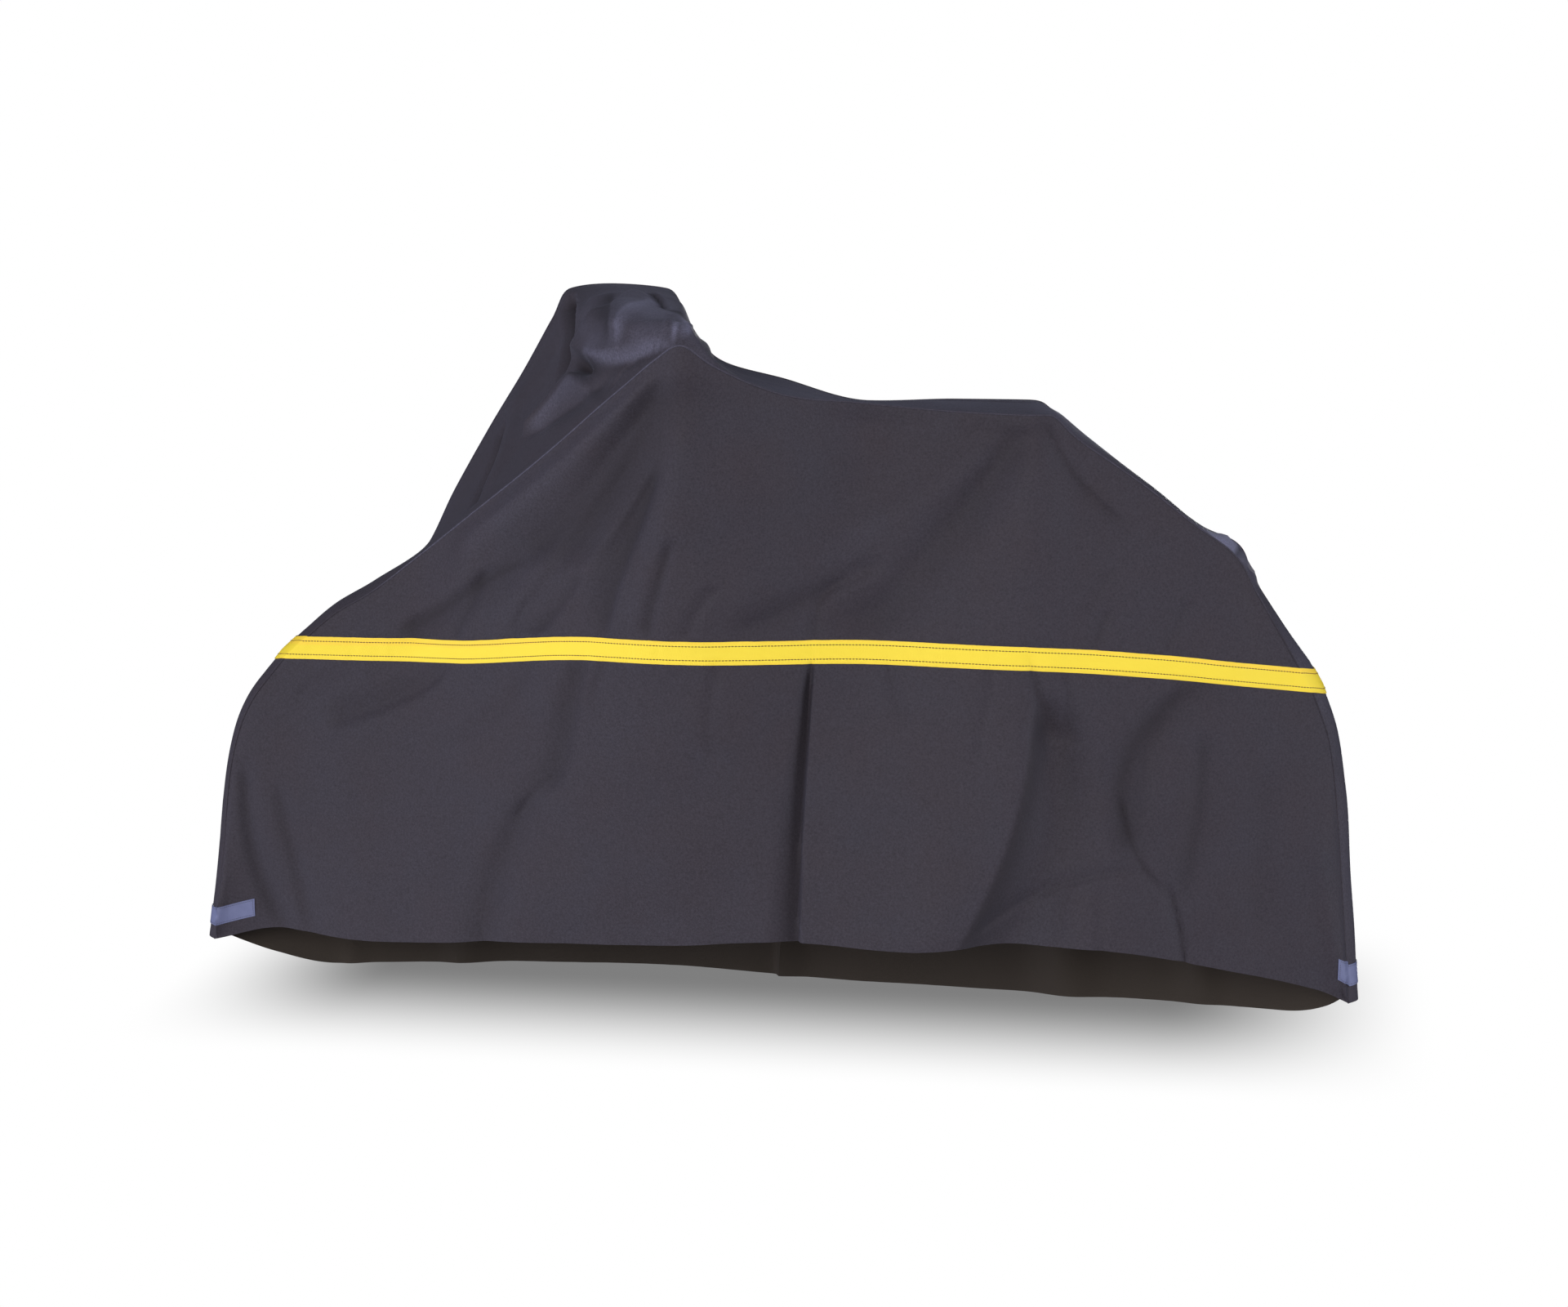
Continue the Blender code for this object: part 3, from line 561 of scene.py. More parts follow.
# Folds of the centre strip, as on the sides; their routes are lengths along it from the start
# of ARCH and across it from its middle, + towards the far side
POUCH_RIM = ((0.812, -0.290), (0.787, -0.273), (0.760, -0.263), (0.735, -0.242), (0.715, -0.225),
             (0.695, -0.204), (0.682, -0.183), (0.672, -0.155), (0.667, -0.132), (0.658, -0.096),
             (0.650, -0.060))
POUCH_VALLEY = ((0.676, 0.235), (0.668, 0.180), (0.661, 0.138), (0.651, 0.103), (0.637, 0.064),
                (0.622, 0.030), (0.598, -0.010))
FRONT_CREASE = ((0.474, 0.110), (0.459, 0.082), (0.441, 0.047), (0.410, 0.002), (0.378, -0.037),
                (0.345, -0.085))
CENTRE_FOLDS = (
    # lower rim of the pouch over the handlebar, steep below and easy above
    (0.020, 0.006, 0.008, 0.080, 0.080, 0,
     ((0.812, -0.292), (0.776, -0.262), (0.738, -0.238), (0.703, -0.205), (0.679, -0.163),
      (0.661, -0.105), (0.647, -0.040), (0.626, 0.040))),
    # crisp valley on the pouch's left, its soft outer slope
    (-0.020, 0.026, 0.030, 0.008, 0.010, 1, POUCH_VALLEY),
    # the pouch itself, standing up steeply from the valley
    (0.015, 0.016, 0.014, 0.080, 0.080, 0,
     ((0.706, 0.170), (0.702, 0.120), (0.695, 0.060), (0.688, 0.000), (0.690, -0.060),
      (0.704, -0.130), (0.728, -0.200), (0.760, -0.260))),
    # upright edge through the pouch, steep on its left
    (0.007, 0.007, 0.008, 0.040, 0.044, 0,
     ((0.775, 0.140), (0.748, 0.078), (0.730, 0.020), (0.718, -0.043), (0.706, -0.116), (0.694, -0.190))),
    # shallow crumples in the left of the pouch
    (-0.002, 0.006, 0.008, 0.006, 0.008, 0,
     ((0.682, 0.170), (0.692, 0.125), (0.690, 0.070), (0.676, 0.020))),
    (0.002, 0.005, 0.007, 0.006, 0.008, 0,
     ((0.670, 0.130), (0.678, 0.080), (0.690, 0.030), (0.686, -0.030))),
    # folds towards the near grip
    (0.005, 0.006, 0.007, 0.008, 0.009, 0,
     ((0.800, -0.080), (0.800, -0.140), (0.792, -0.190), (0.776, -0.250))),
    (0.005, 0.006, 0.007, 0.006, 0.008, 0,
     ((0.822, -0.060), (0.820, -0.120), (0.814, -0.180), (0.800, -0.245))),
    # tuck on the far side of the top
    (-0.006, 0.012, 0.010, 0.003, 0.004, 1,
     ((0.774, 0.150), (0.780, 0.088), (0.784, 0.060), (0.787, 0.000), (0.792, -0.050))),
    # lit ridge under the rim, steep on its far side
    (0.016, 0.005, 0.062, 0.004, 0.010, 0,
     ((0.478, -0.022), (0.506, -0.030), (0.550, -0.038), (0.584, -0.047), (0.608, -0.063),
      (0.640, -0.110))),
    (-0.007, 0.014, 0.026, 0.012, 0.016, 0,
     ((0.480, -0.050), (0.554, -0.098), (0.608, -0.150), (0.655, -0.185), (0.690, -0.210))),
    # two short wrinkles at the near seam
    (-0.004, 0.005, 0.006, 0.005, 0.006, 0,
     ((0.712, -0.235), (0.696, -0.222), (0.672, -0.215), (0.650, -0.222))),
    # crease down the front face
    (-0.009, 0.020, 0.018, 0.004, 0.005, 1, FRONT_CREASE),
    (0.004, 0.020, 0.020, 0.020, 0.020, 0,
     ((0.520, 0.140), (0.480, 0.070), (0.430, -0.010), (0.370, -0.080))),
    # small crumples behind the crown and on the rear hump
    (0.005, 0.008, 0.010, 0.008, 0.010, 0,
     ((0.880, 0.200), (0.888, 0.120), (0.880, 0.030), (0.868, -0.080), (0.860, -0.200))),
    (-0.004, 0.006, 0.008, 0.006, 0.008, 0,
     ((0.905, 0.220), (0.912, 0.120), (0.905, 0.000), (0.890, -0.120))),
    (-0.005, 0.006, 0.006, 0.008, 0.010, 1,
     ((1.784, 0.070), (1.792, 0.030), (1.790, -0.010), (1.786, -0.060))),
    (0.005, 0.012, 0.012, 0.012, 0.012, 0,
     ((1.750, 0.066), (1.758, 0.020), (1.754, -0.060))),
    (0.004, 0.008, 0.008, 0.010, 0.010, 0,
     ((1.820, 0.060), (1.828, 0.010), (1.822, -0.050))),
    (0.003, 0.020, 0.030, 0.020, 0.030, 0,
     ((0.960, 0.060), (1.050, 0.030), (1.160, 0.000), (1.280, -0.020))),
    (-0.004, 0.010, 0.012, 0.010, 0.012, 0,
     ((1.180, 0.020), (1.260, 0.035), (1.340, 0.040), (1.410, 0.030))),
)
# Rounded lumps and hollows of the centre strip: along, across, reach along, reach across, height
CENTRE_LUMPS = (
    (0.640, -0.080, 0.014, 0.030, -0.016),
    (0.750, -0.100, 0.050, 0.080, 0.006),
    (0.600, 0.130, 0.030, 0.050, -0.006),
    (0.500, 0.135, 0.030, 0.030, 0.005),
)
# Thin lines of painted highlight where light catches the crown, and of painted shade in its creases; rows
# as for folds
CENTRE_HIGHLIGHT_LINES = (
    # the pouch from its rim upwards, and the rim itself
    (0.10, 0.004, 0.004, 0.060, 0.090, 0, POUCH_RIM),
    (0.20, 0.0045, 0.0045, 0.0045, 0.0045, 0, POUCH_RIM),
    # right of its upright edge
    (0.34, 0.004, 0.004, 0.022, 0.018, 0,
     ((0.762, 0.060), (0.738, -0.059), (0.719, -0.109), (0.708, -0.150), (0.699, -0.168), (0.688, -0.190))),
    # two bright folds at the near grip
    (0.70, 0.0045, 0.0045, 0.0045, 0.0045, 0,
     ((0.802, -0.120), (0.798, -0.222), (0.794, -0.250), (0.791, -0.264), (0.785, -0.276))),
    (0.55, 0.0045, 0.0045, 0.0045, 0.0045, 0,
     ((0.815, -0.070), (0.809, -0.227), (0.807, -0.250), (0.804, -0.272))),
    # the lit ridge below it
    (0.14, 0.004, 0.052, 0.003, 0.005, 0,
     ((0.490, -0.036), (0.507, -0.043), (0.546, -0.054), (0.579, -0.065), (0.602, -0.076),
      (0.640, -0.110))),
)
# Painted shade: dark lines in the crown's creases, under the pouch's rim and across the rear hump
CENTRE_SHADE_LINES = (
    (1.00, 0.018, 0.020, 0.007, 0.009, 0, POUCH_VALLEY),
    (0.72, 0.016, 0.012, 0.004, 0.004, 0,
     ((0.730, 0.120), (0.719, 0.045), (0.710, -0.040), (0.702, -0.107), (0.695, -0.124),
      (0.689, -0.145), (0.680, -0.165))),
    (0.95, 0.0025, 0.0025, 0.0025, 0.0030, 0,
     ((0.776, 0.130), (0.780, 0.088), (0.784, 0.060), (0.787, 0.000), (0.790, -0.046))),
    (0.95, 0.012, 0.012, 0.006, 0.006, 0,
     ((0.784, -0.040), (0.798, -0.042), (0.814, -0.012))),
    (0.85, 0.010, 0.010, 0.007, 0.008, 0, FRONT_CREASE),
    # under the rim, beside the lit ridge
    (0.35, 0.010, 0.012, 0.004, 0.004, 0,
     ((0.790, -0.284), (0.754, -0.270), (0.729, -0.250), (0.709, -0.232), (0.689, -0.211),
      (0.676, -0.190), (0.665, -0.162), (0.660, -0.138), (0.651, -0.100))),
    (0.36, 0.028, 0.045, 0.004, 0.006, 0,
     ((0.515, -0.075), (0.554, -0.100), (0.590, -0.136), (0.627, -0.168), (0.660, -0.190))),
    # across the rear hump
    (0.70, 0.004, 0.004, 0.005, 0.005, 0,
     ((1.782, 0.075), (1.790, 0.030), (1.789, -0.010), (1.785, -0.072))),
)
# Painted shade in spots, in the hollow under the pouch's rim and beside its valley: along, across, reach
# along, reach across, how dark
CENTRE_SHADE_SPOTS = (
    (0.634, -0.066, 0.014, 0.036, 0.85),
    (0.650, -0.120, 0.010, 0.024, 0.50),
    (0.683, -0.090, 0.006, 0.020, 0.25),
    (0.680, -0.020, 0.007, 0.020, 0.20),
    (0.692, 0.110, 0.010, 0.030, 0.30),
)
CROWN_EDGE = 0.014      # from a seam to where the centre cloth moves freely
# Painted highlight, where the cloth is painted paler and bluer for the light on the pouch, along the top
# and on the rear hump, a row below 0 taking some away: along, across, reach along, reach across, how much
CENTRE_HIGHLIGHTS = (
    (0.745, 0.100, 0.060, 0.140, 0.17),
    (0.770, -0.110, 0.040, 0.100, 0.36),
    (0.738, -0.060, 0.022, 0.060, 0.20),
    (0.715, -0.190, 0.012, 0.014, -0.08),
    (0.672, -0.050, 0.012, 0.080, 0.06),
    (1.150, 0.000, 0.300, 0.250, 0.20),
    (1.440, 0.000, 0.050, 0.120, 0.12),
    (1.760, -0.030, 0.034, 0.110, 1.30),
    (1.830, 0.000, 0.026, 0.100, 0.12),
    (2.000, -0.020, 0.090, 0.060, 0.09),
    (2.300, -0.020, 0.150, 0.060, 0.07),
)


def lumps(rows, along, across):
    total = np.zeros(along.shape)
    for u, v, long, wide, height in rows:
        total += height * np.exp(-((along - u) / long) ** 2 - ((across - v) / wide) ** 2)
    return total


def centre_places(near_line, far_line, across):
    """For each point of the strip: how far along it is from the start of ARCH, how far aside
    of its middle, and how far from the nearer seam."""
    middle = (near_line + far_line) / 2
    wide = np.linalg.norm(far_line - near_line, axis=1)
    along = np.concatenate([[0.0], np.cumsum(np.linalg.norm(np.diff(middle, axis=0), axis=1))])
    start = np.argmin(np.linalg.norm(near_line - NEAR.arch([0.0])[0], axis=1))
    w = across[:, None]
    return (np.broadcast_to(along - along[start], (len(across), len(along))),
            (w - 0.5) * wide, np.minimum(w, 1.0 - w) * wide)


def centre_grid(near_line, far_line, stands, across):
    """Points of the centre strip: rows across it, columns along its two seams."""
    way = far_line - near_line
    out = np.cross(np.gradient((near_line + far_line) / 2, axis=0), way)
    out /= np.linalg.norm(out, axis=1)[:, None]
    along, aside, edge = centre_places(near_line, far_line, across)
    w = across[:, None]
    free = ease(edge / CROWN_EDGE)
    rise = fold_depth(CENTRE_FOLDS, along, aside) + lumps(CENTRE_LUMPS, along, aside)
    rise = rise + ripple(along, aside, CENTRE_SEED, *CENTRE_RIPPLE)
    rise = rise + puckers(along, edge, CENTRE_SEED + 1, *CENTRE_PUCKERS, CENTRE_STOP)
    bulge = stands * (1.0 - abs(2.0 * w - 1.0) ** STRIP_FULLNESS) + rise * free
    return near_line + way * w[..., None] + out * bulge[..., None]


def strip_lines():
    """Both seams of the centre strip, from the front hem to the rear hem, and its fullness."""
    places = arch_steps(FAR.arch_column, GRAIN)
    share = np.linspace(0.0, 1.0, NOSE_COUNT)
    mix = np.linspace(0.0, 1.0, GAP_COUNT + 1)[1:-1, None]
    lines = []
    for side in (NEAR, FAR):
        front = side.nose(FRONT_NOSE, share)
        rear = side.nose(REAR_NOSE, share)[::-1]
        arch = side.arch(places)
        lines.append(np.vstack([front, front[-1] + (arch[0] - front[-1]) * mix, arch,
                                arch[-1] + (rear[0] - arch[-1]) * mix, rear]))
    rounds = through([(i, row[-1]) for i, row in enumerate(ARCH)], places)[:, 0]
    ends = np.full(NOSE_COUNT + GAP_COUNT - 1, NOSE_ROUND)
    return lines[0], lines[1], np.concatenate([ends, rounds, ends])


# Points up a nose, and over the short gap from there to the start of ARCH
NOSE_COUNT = int(0.47 / GRAIN)
GAP_COUNT = int(0.044 / GRAIN)
# Rows across the strip, as shares of its width, closer together at its seams
ACROSS = np.concatenate([(0.0, 0.004, 0.010, 0.020, 0.035), np.linspace(0.05, 0.95, 121),
                         (0.965, 0.980, 0.990, 0.996, 1.0)])
HALF_ACROSS = len(ACROSS) // 2
near_line, far_line, stands = strip_lines()
centre_points = centre_grid(near_line, far_line, stands, ACROSS)

# ------------------------------------------------------------------ making the pieces
SMOOTH_BELOW = math.radians(50)
BEAD_SIDES, BEAD_RINGS = 6, 5
BEAD_BLUNT = 0.7        # power below 1 that blunts a stitch's ends
BEAD_FLAT = 0.7         # its height, as a share of its thickness


def cloth_piece(name, points, thick, outward=False):
    """A closed sheet: a grid whose points are moved to points[row][column], then given its
    thickness inwards, or outwards for what is sewn on top."""
    rows, columns = points.shape[:2]
    bpy.ops.object.select_all(action="DESELECT")
    bpy.ops.mesh.primitive_grid_add(x_subdivisions=columns - 1, y_subdivisions=rows - 1, size=1.0)
    piece = bpy.context.object
    piece.name = name
    piece.data.name = name
    piece.data.vertices.foreach_set("co", (points - CARRY).astype(np.float32).ravel())
    piece.data.update()
    wall = piece.modifiers.new("thickness", "SOLIDIFY")
    wall.thickness = thick
    wall.offset = 1.0 if outward else -1.0
    bpy.ops.object.modifier_apply(modifier=wall.name)
    if not outward:     # the inner faces come after the outer ones, and take the second finish
        outer = (rows - 1) * (columns - 1)
        finish = np.zeros(len(piece.data.polygons), dtype=np.int32)
        finish[outer:2 * outer] = 1
        piece.data.polygons.foreach_set("material_index", finish)
    bpy.ops.object.shade_smooth_by_angle(angle=SMOOTH_BELOW)
    return piece


def metric_uv(piece, u, v):
    """A UV map in metres from grids of u and v, on both faces of the sheet."""
    mesh = piece.data
    layer = mesh.uv_layers.active or mesh.uv_layers.new(name="cloth")
    layer.name = "cloth"
    corner = np.empty(len(mesh.loops), dtype=np.int32)
    mesh.loops.foreach_get("vertex_index", corner)
    corner %= u.size
    uv = np.stack([u.ravel()[corner], v.ravel()[corner]], axis=1)
    layer.data.foreach_set("uv", uv.astype(np.float32).ravel())


def paint(piece, name, amount):
    """A number at each point of a sheet, on both of its faces."""
    layer = piece.data.attributes.new(name, "FLOAT", "POINT")
    values = np.resize(np.ravel(amount), len(piece.data.vertices))
    layer.data.foreach_set("value", values.astype(np.float32))


def face_normals(points):
    """Normals of a grid of points, pointing the way its sheet faces."""
    along = np.gradient(points, axis=1)
    up = np.gradient(points, axis=0)
    out = np.cross(along, up)
    return out / np.maximum(np.linalg.norm(out, axis=-1, keepdims=True), 1e-9)


def lengths_along(points, axis):
    steps = np.linalg.norm(np.diff(points, axis=axis), axis=-1)
    first = np.zeros_like(np.take(steps, [0], axis=axis))
    return np.concatenate([first, np.cumsum(steps, axis=axis)], axis=axis)


def strip_piece(name, points, lift, thick):
    """A strip sewn on top of the cloth, lifted off it, with its UV map in metres."""
    base = points + face_normals(points) * lift
    piece = cloth_piece(name, base, thick, outward=True)
    metric_uv(piece, lengths_along(points, 1), lengths_along(points, 0))
    return piece


def stitches(name, line, normals, pitch, long, thick):
    """A row of thread stitches lying along a line of points, joined as one piece."""
    bpy.ops.object.select_all(action="DESELECT")
    bpy.ops.mesh.primitive_uv_sphere_add(segments=BEAD_SIDES, ring_count=BEAD_RINGS, radius=0.5)
    bead = bpy.context.object
    form = np.array([v.co[:] for v in bead.data.vertices])
    faces = [list(p.vertices) for p in bead.data.polygons]
    bpy.data.objects.remove(bead)
    form = form[:, [2, 1, 0]]       # its poles along the line
    form[:, 0] = np.sign(form[:, 0]) * np.abs(form[:, 0] * 2) ** BEAD_BLUNT / 2
    reached = np.concatenate([[0.0], np.cumsum(np.linalg.norm(np.diff(line, axis=0), axis=1))])
    places = np.arange(pitch / 2, reached[-1] - pitch / 2, pitch)

    def at(values, shift=0.0):
        return np.stack([np.interp(places + shift, reached, values[:, k]) for k in range(3)], axis=1)

    centre, out = at(line), at(normals)
    run = at(line, long / 2) - at(line, -long / 2)
    run /= np.linalg.norm(run, axis=1, keepdims=True)
    out -= run * np.sum(out * run, axis=1, keepdims=True)
    out /= np.linalg.norm(out, axis=1, keepdims=True)
    aside = np.cross(out, run)
    points = (centre[:, None] + form[None, :, :1] * run[:, None] * long
              + form[None, :, 1:2] * aside[:, None] * thick
              + form[None, :, 2:] * out[:, None] * thick * BEAD_FLAT)
    mesh = bpy.data.meshes.new(name)
    all_faces = [[i + k * len(form) for i in f] for k in range(len(places)) for f in faces]
    mesh.from_pydata((points.reshape(-1, 3) - CARRY).tolist(), [], all_faces)
    mesh.shade_smooth()
    piece = bpy.data.objects.new(name, mesh)
    bpy.context.scene.collection.objects.link(piece)
    return piece


# ------------------------------------------------------------------ side panels
BAND_RISE = np.linspace(0.0, 1.0, 9)


def side_parts(side):
    """Grids of x, z below the band, under it and above it, columns from front to rear."""
    places = arch_steps(side.arch_column, side.grain)
    top = side.arch(places)
    share = (top[:, 0] - side.first_x) / (side.last_x - side.first_x)
    low_x, low_z = side.low_grid(share, np.linspace(0.0, 1.0, side.rows))
    high_x, high_z = side.high_grid(places, np.linspace(0.0, 1.0, side.rows))
    mix = BAND_RISE[:, None]
    band_x = low_x[-1] + (high_x[0] - low_x[-1]) * mix
    band_z = low_z[-1] + (high_z[0] - low_z[-1]) * mix
    return (low_x, low_z), (band_x, band_z), (high_x, high_z)


def outward_rows(points, side):
    """Far-side grids run from rear to front, so that they face outwards."""
    return points if side.outward < 0 else points[:, ::-1]


HALF_BAND = len(BAND_RISE) // 2
# Painted shade in a side's folds: how much, the four half-widths as for a fold, crisp or
# soft, and where that fold starts. The painted shade then runs along the fold's own route.
SIDE_FOLD_SHADES = {
    "near": (
        # the two falls from the near grip, and the creases at their ends
        (0.17, 0.016, 0.034, 0.024, 0.044, 0, (-0.142, 1.008)),
        (0.34, 0.007, 0.009, 0.006, 0.009, 0, (-0.372, 0.706)),
        (0.24, 0.010, 0.010, 0.006, 0.007, 0, (-0.162, 0.880)),
        (0.20, 0.007, 0.009, 0.005, 0.006, 0, (-0.285, 0.700)),
        (0.18, 0.008, 0.010, 0.006, 0.007, 0, (-0.142, 0.760)),
        (0.14, 0.007, 0.009, 0.005, 0.006, 0, (-0.450, 0.690)),
        # the fall that goes on below the band
        (0.12, 0.018, 0.024, 0.014, 0.022, 0, (-0.278, 0.585)),
        # the ridge beside the deep fall before the rear wheel, and the two folds behind it
        (0.55, 0.004, 0.005, 0.010, 0.036, 0, (0.398, 0.540)),
        (0.30, 0.012, 0.014, 0.012, 0.020, 0, (0.645, 0.560)),
        (0.18, 0.010, 0.014, 0.008, 0.010, 0, (0.645, 0.480)),
        # the packing crease
        (0.12, 0.006, 0.028, 0.003, 0.004, 0, (0.063, 0.612)),
    ),
    "far": ((0.22, 0.004, 0.004, 0.006, 0.026, 0, (-0.020, 0.560)),),
}
DEEP = 20.0             # painted shade: how dark a fold's bottom is painted, for each metre of its depth
DEEPEST = 0.020         # folds deeper than this get their painted shade from the rows above instead
CREST_HIGHLIGHT = 4.5              # painted highlight: how pale a fold's crest is painted, for each metre it stands out beyond the next value
CREST_HIGHLIGHT_FROM = 0.008


def fold_shade_rows(folds, painted_shade_rows):
    """The rows of painted fold shade, each with its own fold's route."""
    routes = {row[-1][0]: row[-1] for row in folds}
    return [(*row[:-1], routes[row[-1]]) for row in painted_shade_rows]


def side_panel_pieces(side, word):
    """The side's cloth, cut along the middle of the band that hides the joint."""
    low, band, high = side_parts(side)
    lower = [np.vstack([a, b[1:HALF_BAND + 1]]) for a, b in zip(low, band)]
    upper = [np.vstack([b[HALF_BAND:-1], a]) for a, b in zip(high, band)]
    pieces = []
    painted_shade_rows = fold_shade_rows(side.folds, SIDE_FOLD_SHADES[word])
    for part, (x, z) in (("lower", lower), ("upper", upper)):
        points = outward_rows(side.surface(x, z), side)
        piece = cloth_piece(f"{word}_{part}_cloth", points, CLOTH)
        x, z = points[..., 0], points[..., 2]
        metric_uv(piece, x, z)
        # Painted shade in the bottoms of the folds and painted highlight on their crests, from each fold's
        # depth, with the listed painted shade along its folds
        depth = fold_depth([row for row in side.folds if abs(row[0]) < DEEPEST], x, z)
        paint(piece, "painted_shade", np.maximum(-depth * DEEP, 0.0) + fold_depth(painted_shade_rows, x, z))
        paint(piece, "painted_highlight", np.maximum(depth - CREST_HIGHLIGHT_FROM, 0.0) * CREST_HIGHLIGHT)
        pieces.append(piece)
    return pieces


BAND_DIP = 0.006        # how far the band sinks round the front and rear noses
SPARE_ROWS = 5          # rows of the strip below and above the band that its ends can use
BAND_END_TOP = 0.70     # the seam below this height is where the band can end
BAND_END_ROUNDS = 4     # steps towards the place where band and seam meet


def band_end(side, way):
    """x, z up the band's end, where it meets the seam at the front (-1) or the rear (1)."""
    seam = side.seam[(side.seam[:, 0] * way > 0) & (side.seam[:, 2] < BAND_END_TOP)]
    seam = seam[np.argsort(seam[:, 2])]
    z = side.band[0][1] + BAND_WIDTH * BAND_RISE
    for _ in range(BAND_END_ROUNDS):
        x = np.interp(z, seam[:, 2], seam[:, 0])
        z = through(side.band, x)[:, 0] + BAND_WIDTH * BAND_RISE
    return x, z


def band_points(side):
    """The band's own grid, from the middle of the front nose to the middle of the rear nose."""
    front_x, front_z = band_end(side, -1)
    rear_x, rear_z = band_end(side, 1)
    share = np.linspace(0.0, 1.0, side_parts(side)[1][0].shape[1])
    x = front_x[:, None] + (rear_x - front_x)[:, None] * share
    body = side.surface(x, through(side.band, x)[..., 0] + BAND_WIDTH * BAND_RISE[:, None])
    half = (centre_points[:HALF_ACROSS + 1] if side.outward < 0
            else centre_points[HALF_ACROSS:][::-1])
    first = NOSE_COUNT - 1
    last = half.shape[1] - NOSE_COUNT
    ends = []
    for part, heights in (
            (half[:, first - SPARE_ROWS:first + GAP_COUNT + SPARE_ROWS], front_z),
            (half[:, last - GAP_COUNT - SPARE_ROWS:last + SPARE_ROWS][:, ::-1], rear_z)):
        steps = []
        for place, line in zip(np.linspace(0.0, 1.0, len(part)), part):
            height = heights - BAND_DIP * math.sin(place * math.pi / 2)
            steps.append(np.stack([np.interp(height, line[:, 2], line[:, k])
                                   for k in range(3)], axis=1))
        ends.append(np.stack(steps, axis=1))
    front, rear = ends[0][:, ::-1], ends[1]
    return np.concatenate([front[:, :-1], body, rear[:, 1:]], axis=1)


near_lower, near_upper = side_panel_pieces(NEAR, "near")
far_lower, far_upper = side_panel_pieces(FAR, "far")

# ------------------------------------------------------------------ centre panel
along, aside, _ = centre_places(near_line, far_line, ACROSS)
# Painted highlight and painted shade on the centre strip, from the lines, spots and lumps above
painted_highlight = lumps(CENTRE_HIGHLIGHTS, along, aside) + fold_depth(CENTRE_HIGHLIGHT_LINES, along, aside)
painted_shade = lumps(CENTRE_SHADE_SPOTS, along, aside) + fold_depth(CENTRE_SHADE_LINES, along, aside)
CENTRE_CUT = 1.00       # the centre cloth is made in two lengths that meet here
COARSE = 2              # every second column behind it
cut = int(np.argmin(abs(along[0] - CENTRE_CUT)))
rear_columns = np.arange(cut, centre_points.shape[1], COARSE)
if rear_columns[-1] != centre_points.shape[1] - 1:
    rear_columns = np.append(rear_columns, centre_points.shape[1] - 1)
centres = []
for word, columns in (("front", np.arange(cut + 1)), ("rear", rear_columns)):
    points = centre_points[:, columns]
    centre = cloth_piece(f"centre_{word}_cloth", points, CLOTH)
    metric_uv(centre, along[:, columns], aside[:, columns])
    paint(centre, "painted_highlight", painted_highlight[:, columns])
    paint(centre, "painted_shade", painted_shade[:, columns])
    centres.append(centre)

# ------------------------------------------------------------------ bands
BAND_THREADS = (("lower", 0.20), ("upper", 0.80))   # where each lies across the band
BAND_STITCH = (0.0050, 0.0042, 0.0016)      # from one to the next, length, thickness


def row_between(points, place):
    """The line at this place between a grid's rows, 0 on the first."""
    i, share = int(place), place - int(place)
    return points[i] * (1 - share) + points[i + 1] * share


bands = []
band_threads = []
for side, word in ((NEAR, "near"), (FAR, "far")):
    points = outward_rows(band_points(side), side)
    band = strip_piece(f"{word}_yellow_band", points, BAND_GAP, BAND_THICK)
    bands.append(band)
    outs = face_normals(points)
    for row, share in BAND_THREADS:
        place = share * (len(BAND_RISE) - 1)
        normal = outs[int(place)]
        line = row_between(points, place) + normal * (BAND_GAP + BAND_THICK)
        band_threads.append(stitches(f"{word}_band_{row}_thread", line, normal, *BAND_STITCH))


# ------------------------------------------------------------------ labels
# Name, nose, x of its end on the near side and on the far side, height above the hem, own height.
# With no end on the far side, a label stops at the middle of the nose and isn't sewn there.
LABELS = (
    ("front", FRONT_NOSE, -0.846, None, 0.0215, 0.0285),
    ("rear", REAR_NOSE, 0.859, 0.858, 0.0265, 0.0330),
)
LABEL_ROWS = 9
LABEL_STEP = 0.0030
LABEL_START = 0.004     # from the nose's seam to a label's first point on a side
LABEL_STITCH = (0.0032, 0.0024, 0.0008)     # from one to the next, length, thickness
STITCH_INSET = 0.0026   # its long rows of stitches, in from its edge
SLOPE_STEP = 0.01       # share of a nose over which its slope is taken
NOSE_ACROSS = np.linspace(0.0, 1.0, 33)


def nose_rows(table, heights):
    """Points across a nose at these heights, from the near seam to the far seam."""
    rows = np.array(table)
    share = np.interp(heights, rows[:, 4], rows[:, 0])
    values = through(table, share)
    near = np.stack([values[:, 0], values[:, 1], values[:, 3]], axis=1)
    far = np.stack([values[:, 0], values[:, 2], values[:, 3]], axis=1)
    slope = through(table, share + SLOPE_STEP) - values
    outward = -1.0 if rows[0, 1] < 0 else 1.0
    out = np.stack([slope[:, 3], 0.0 * share, -slope[:, 0]], axis=1) * outward
    out /= np.linalg.norm(out, axis=1)[:, None]
    bulge = NOSE_ROUND * (1.0 - abs(2.0 * NOSE_ACROSS - 1.0) ** STRIP_FULLNESS)
    return (near[:, None] + (far - near)[:, None] * NOSE_ACROSS[None, :, None]
            + out[:, None] * bulge[None, :, None])


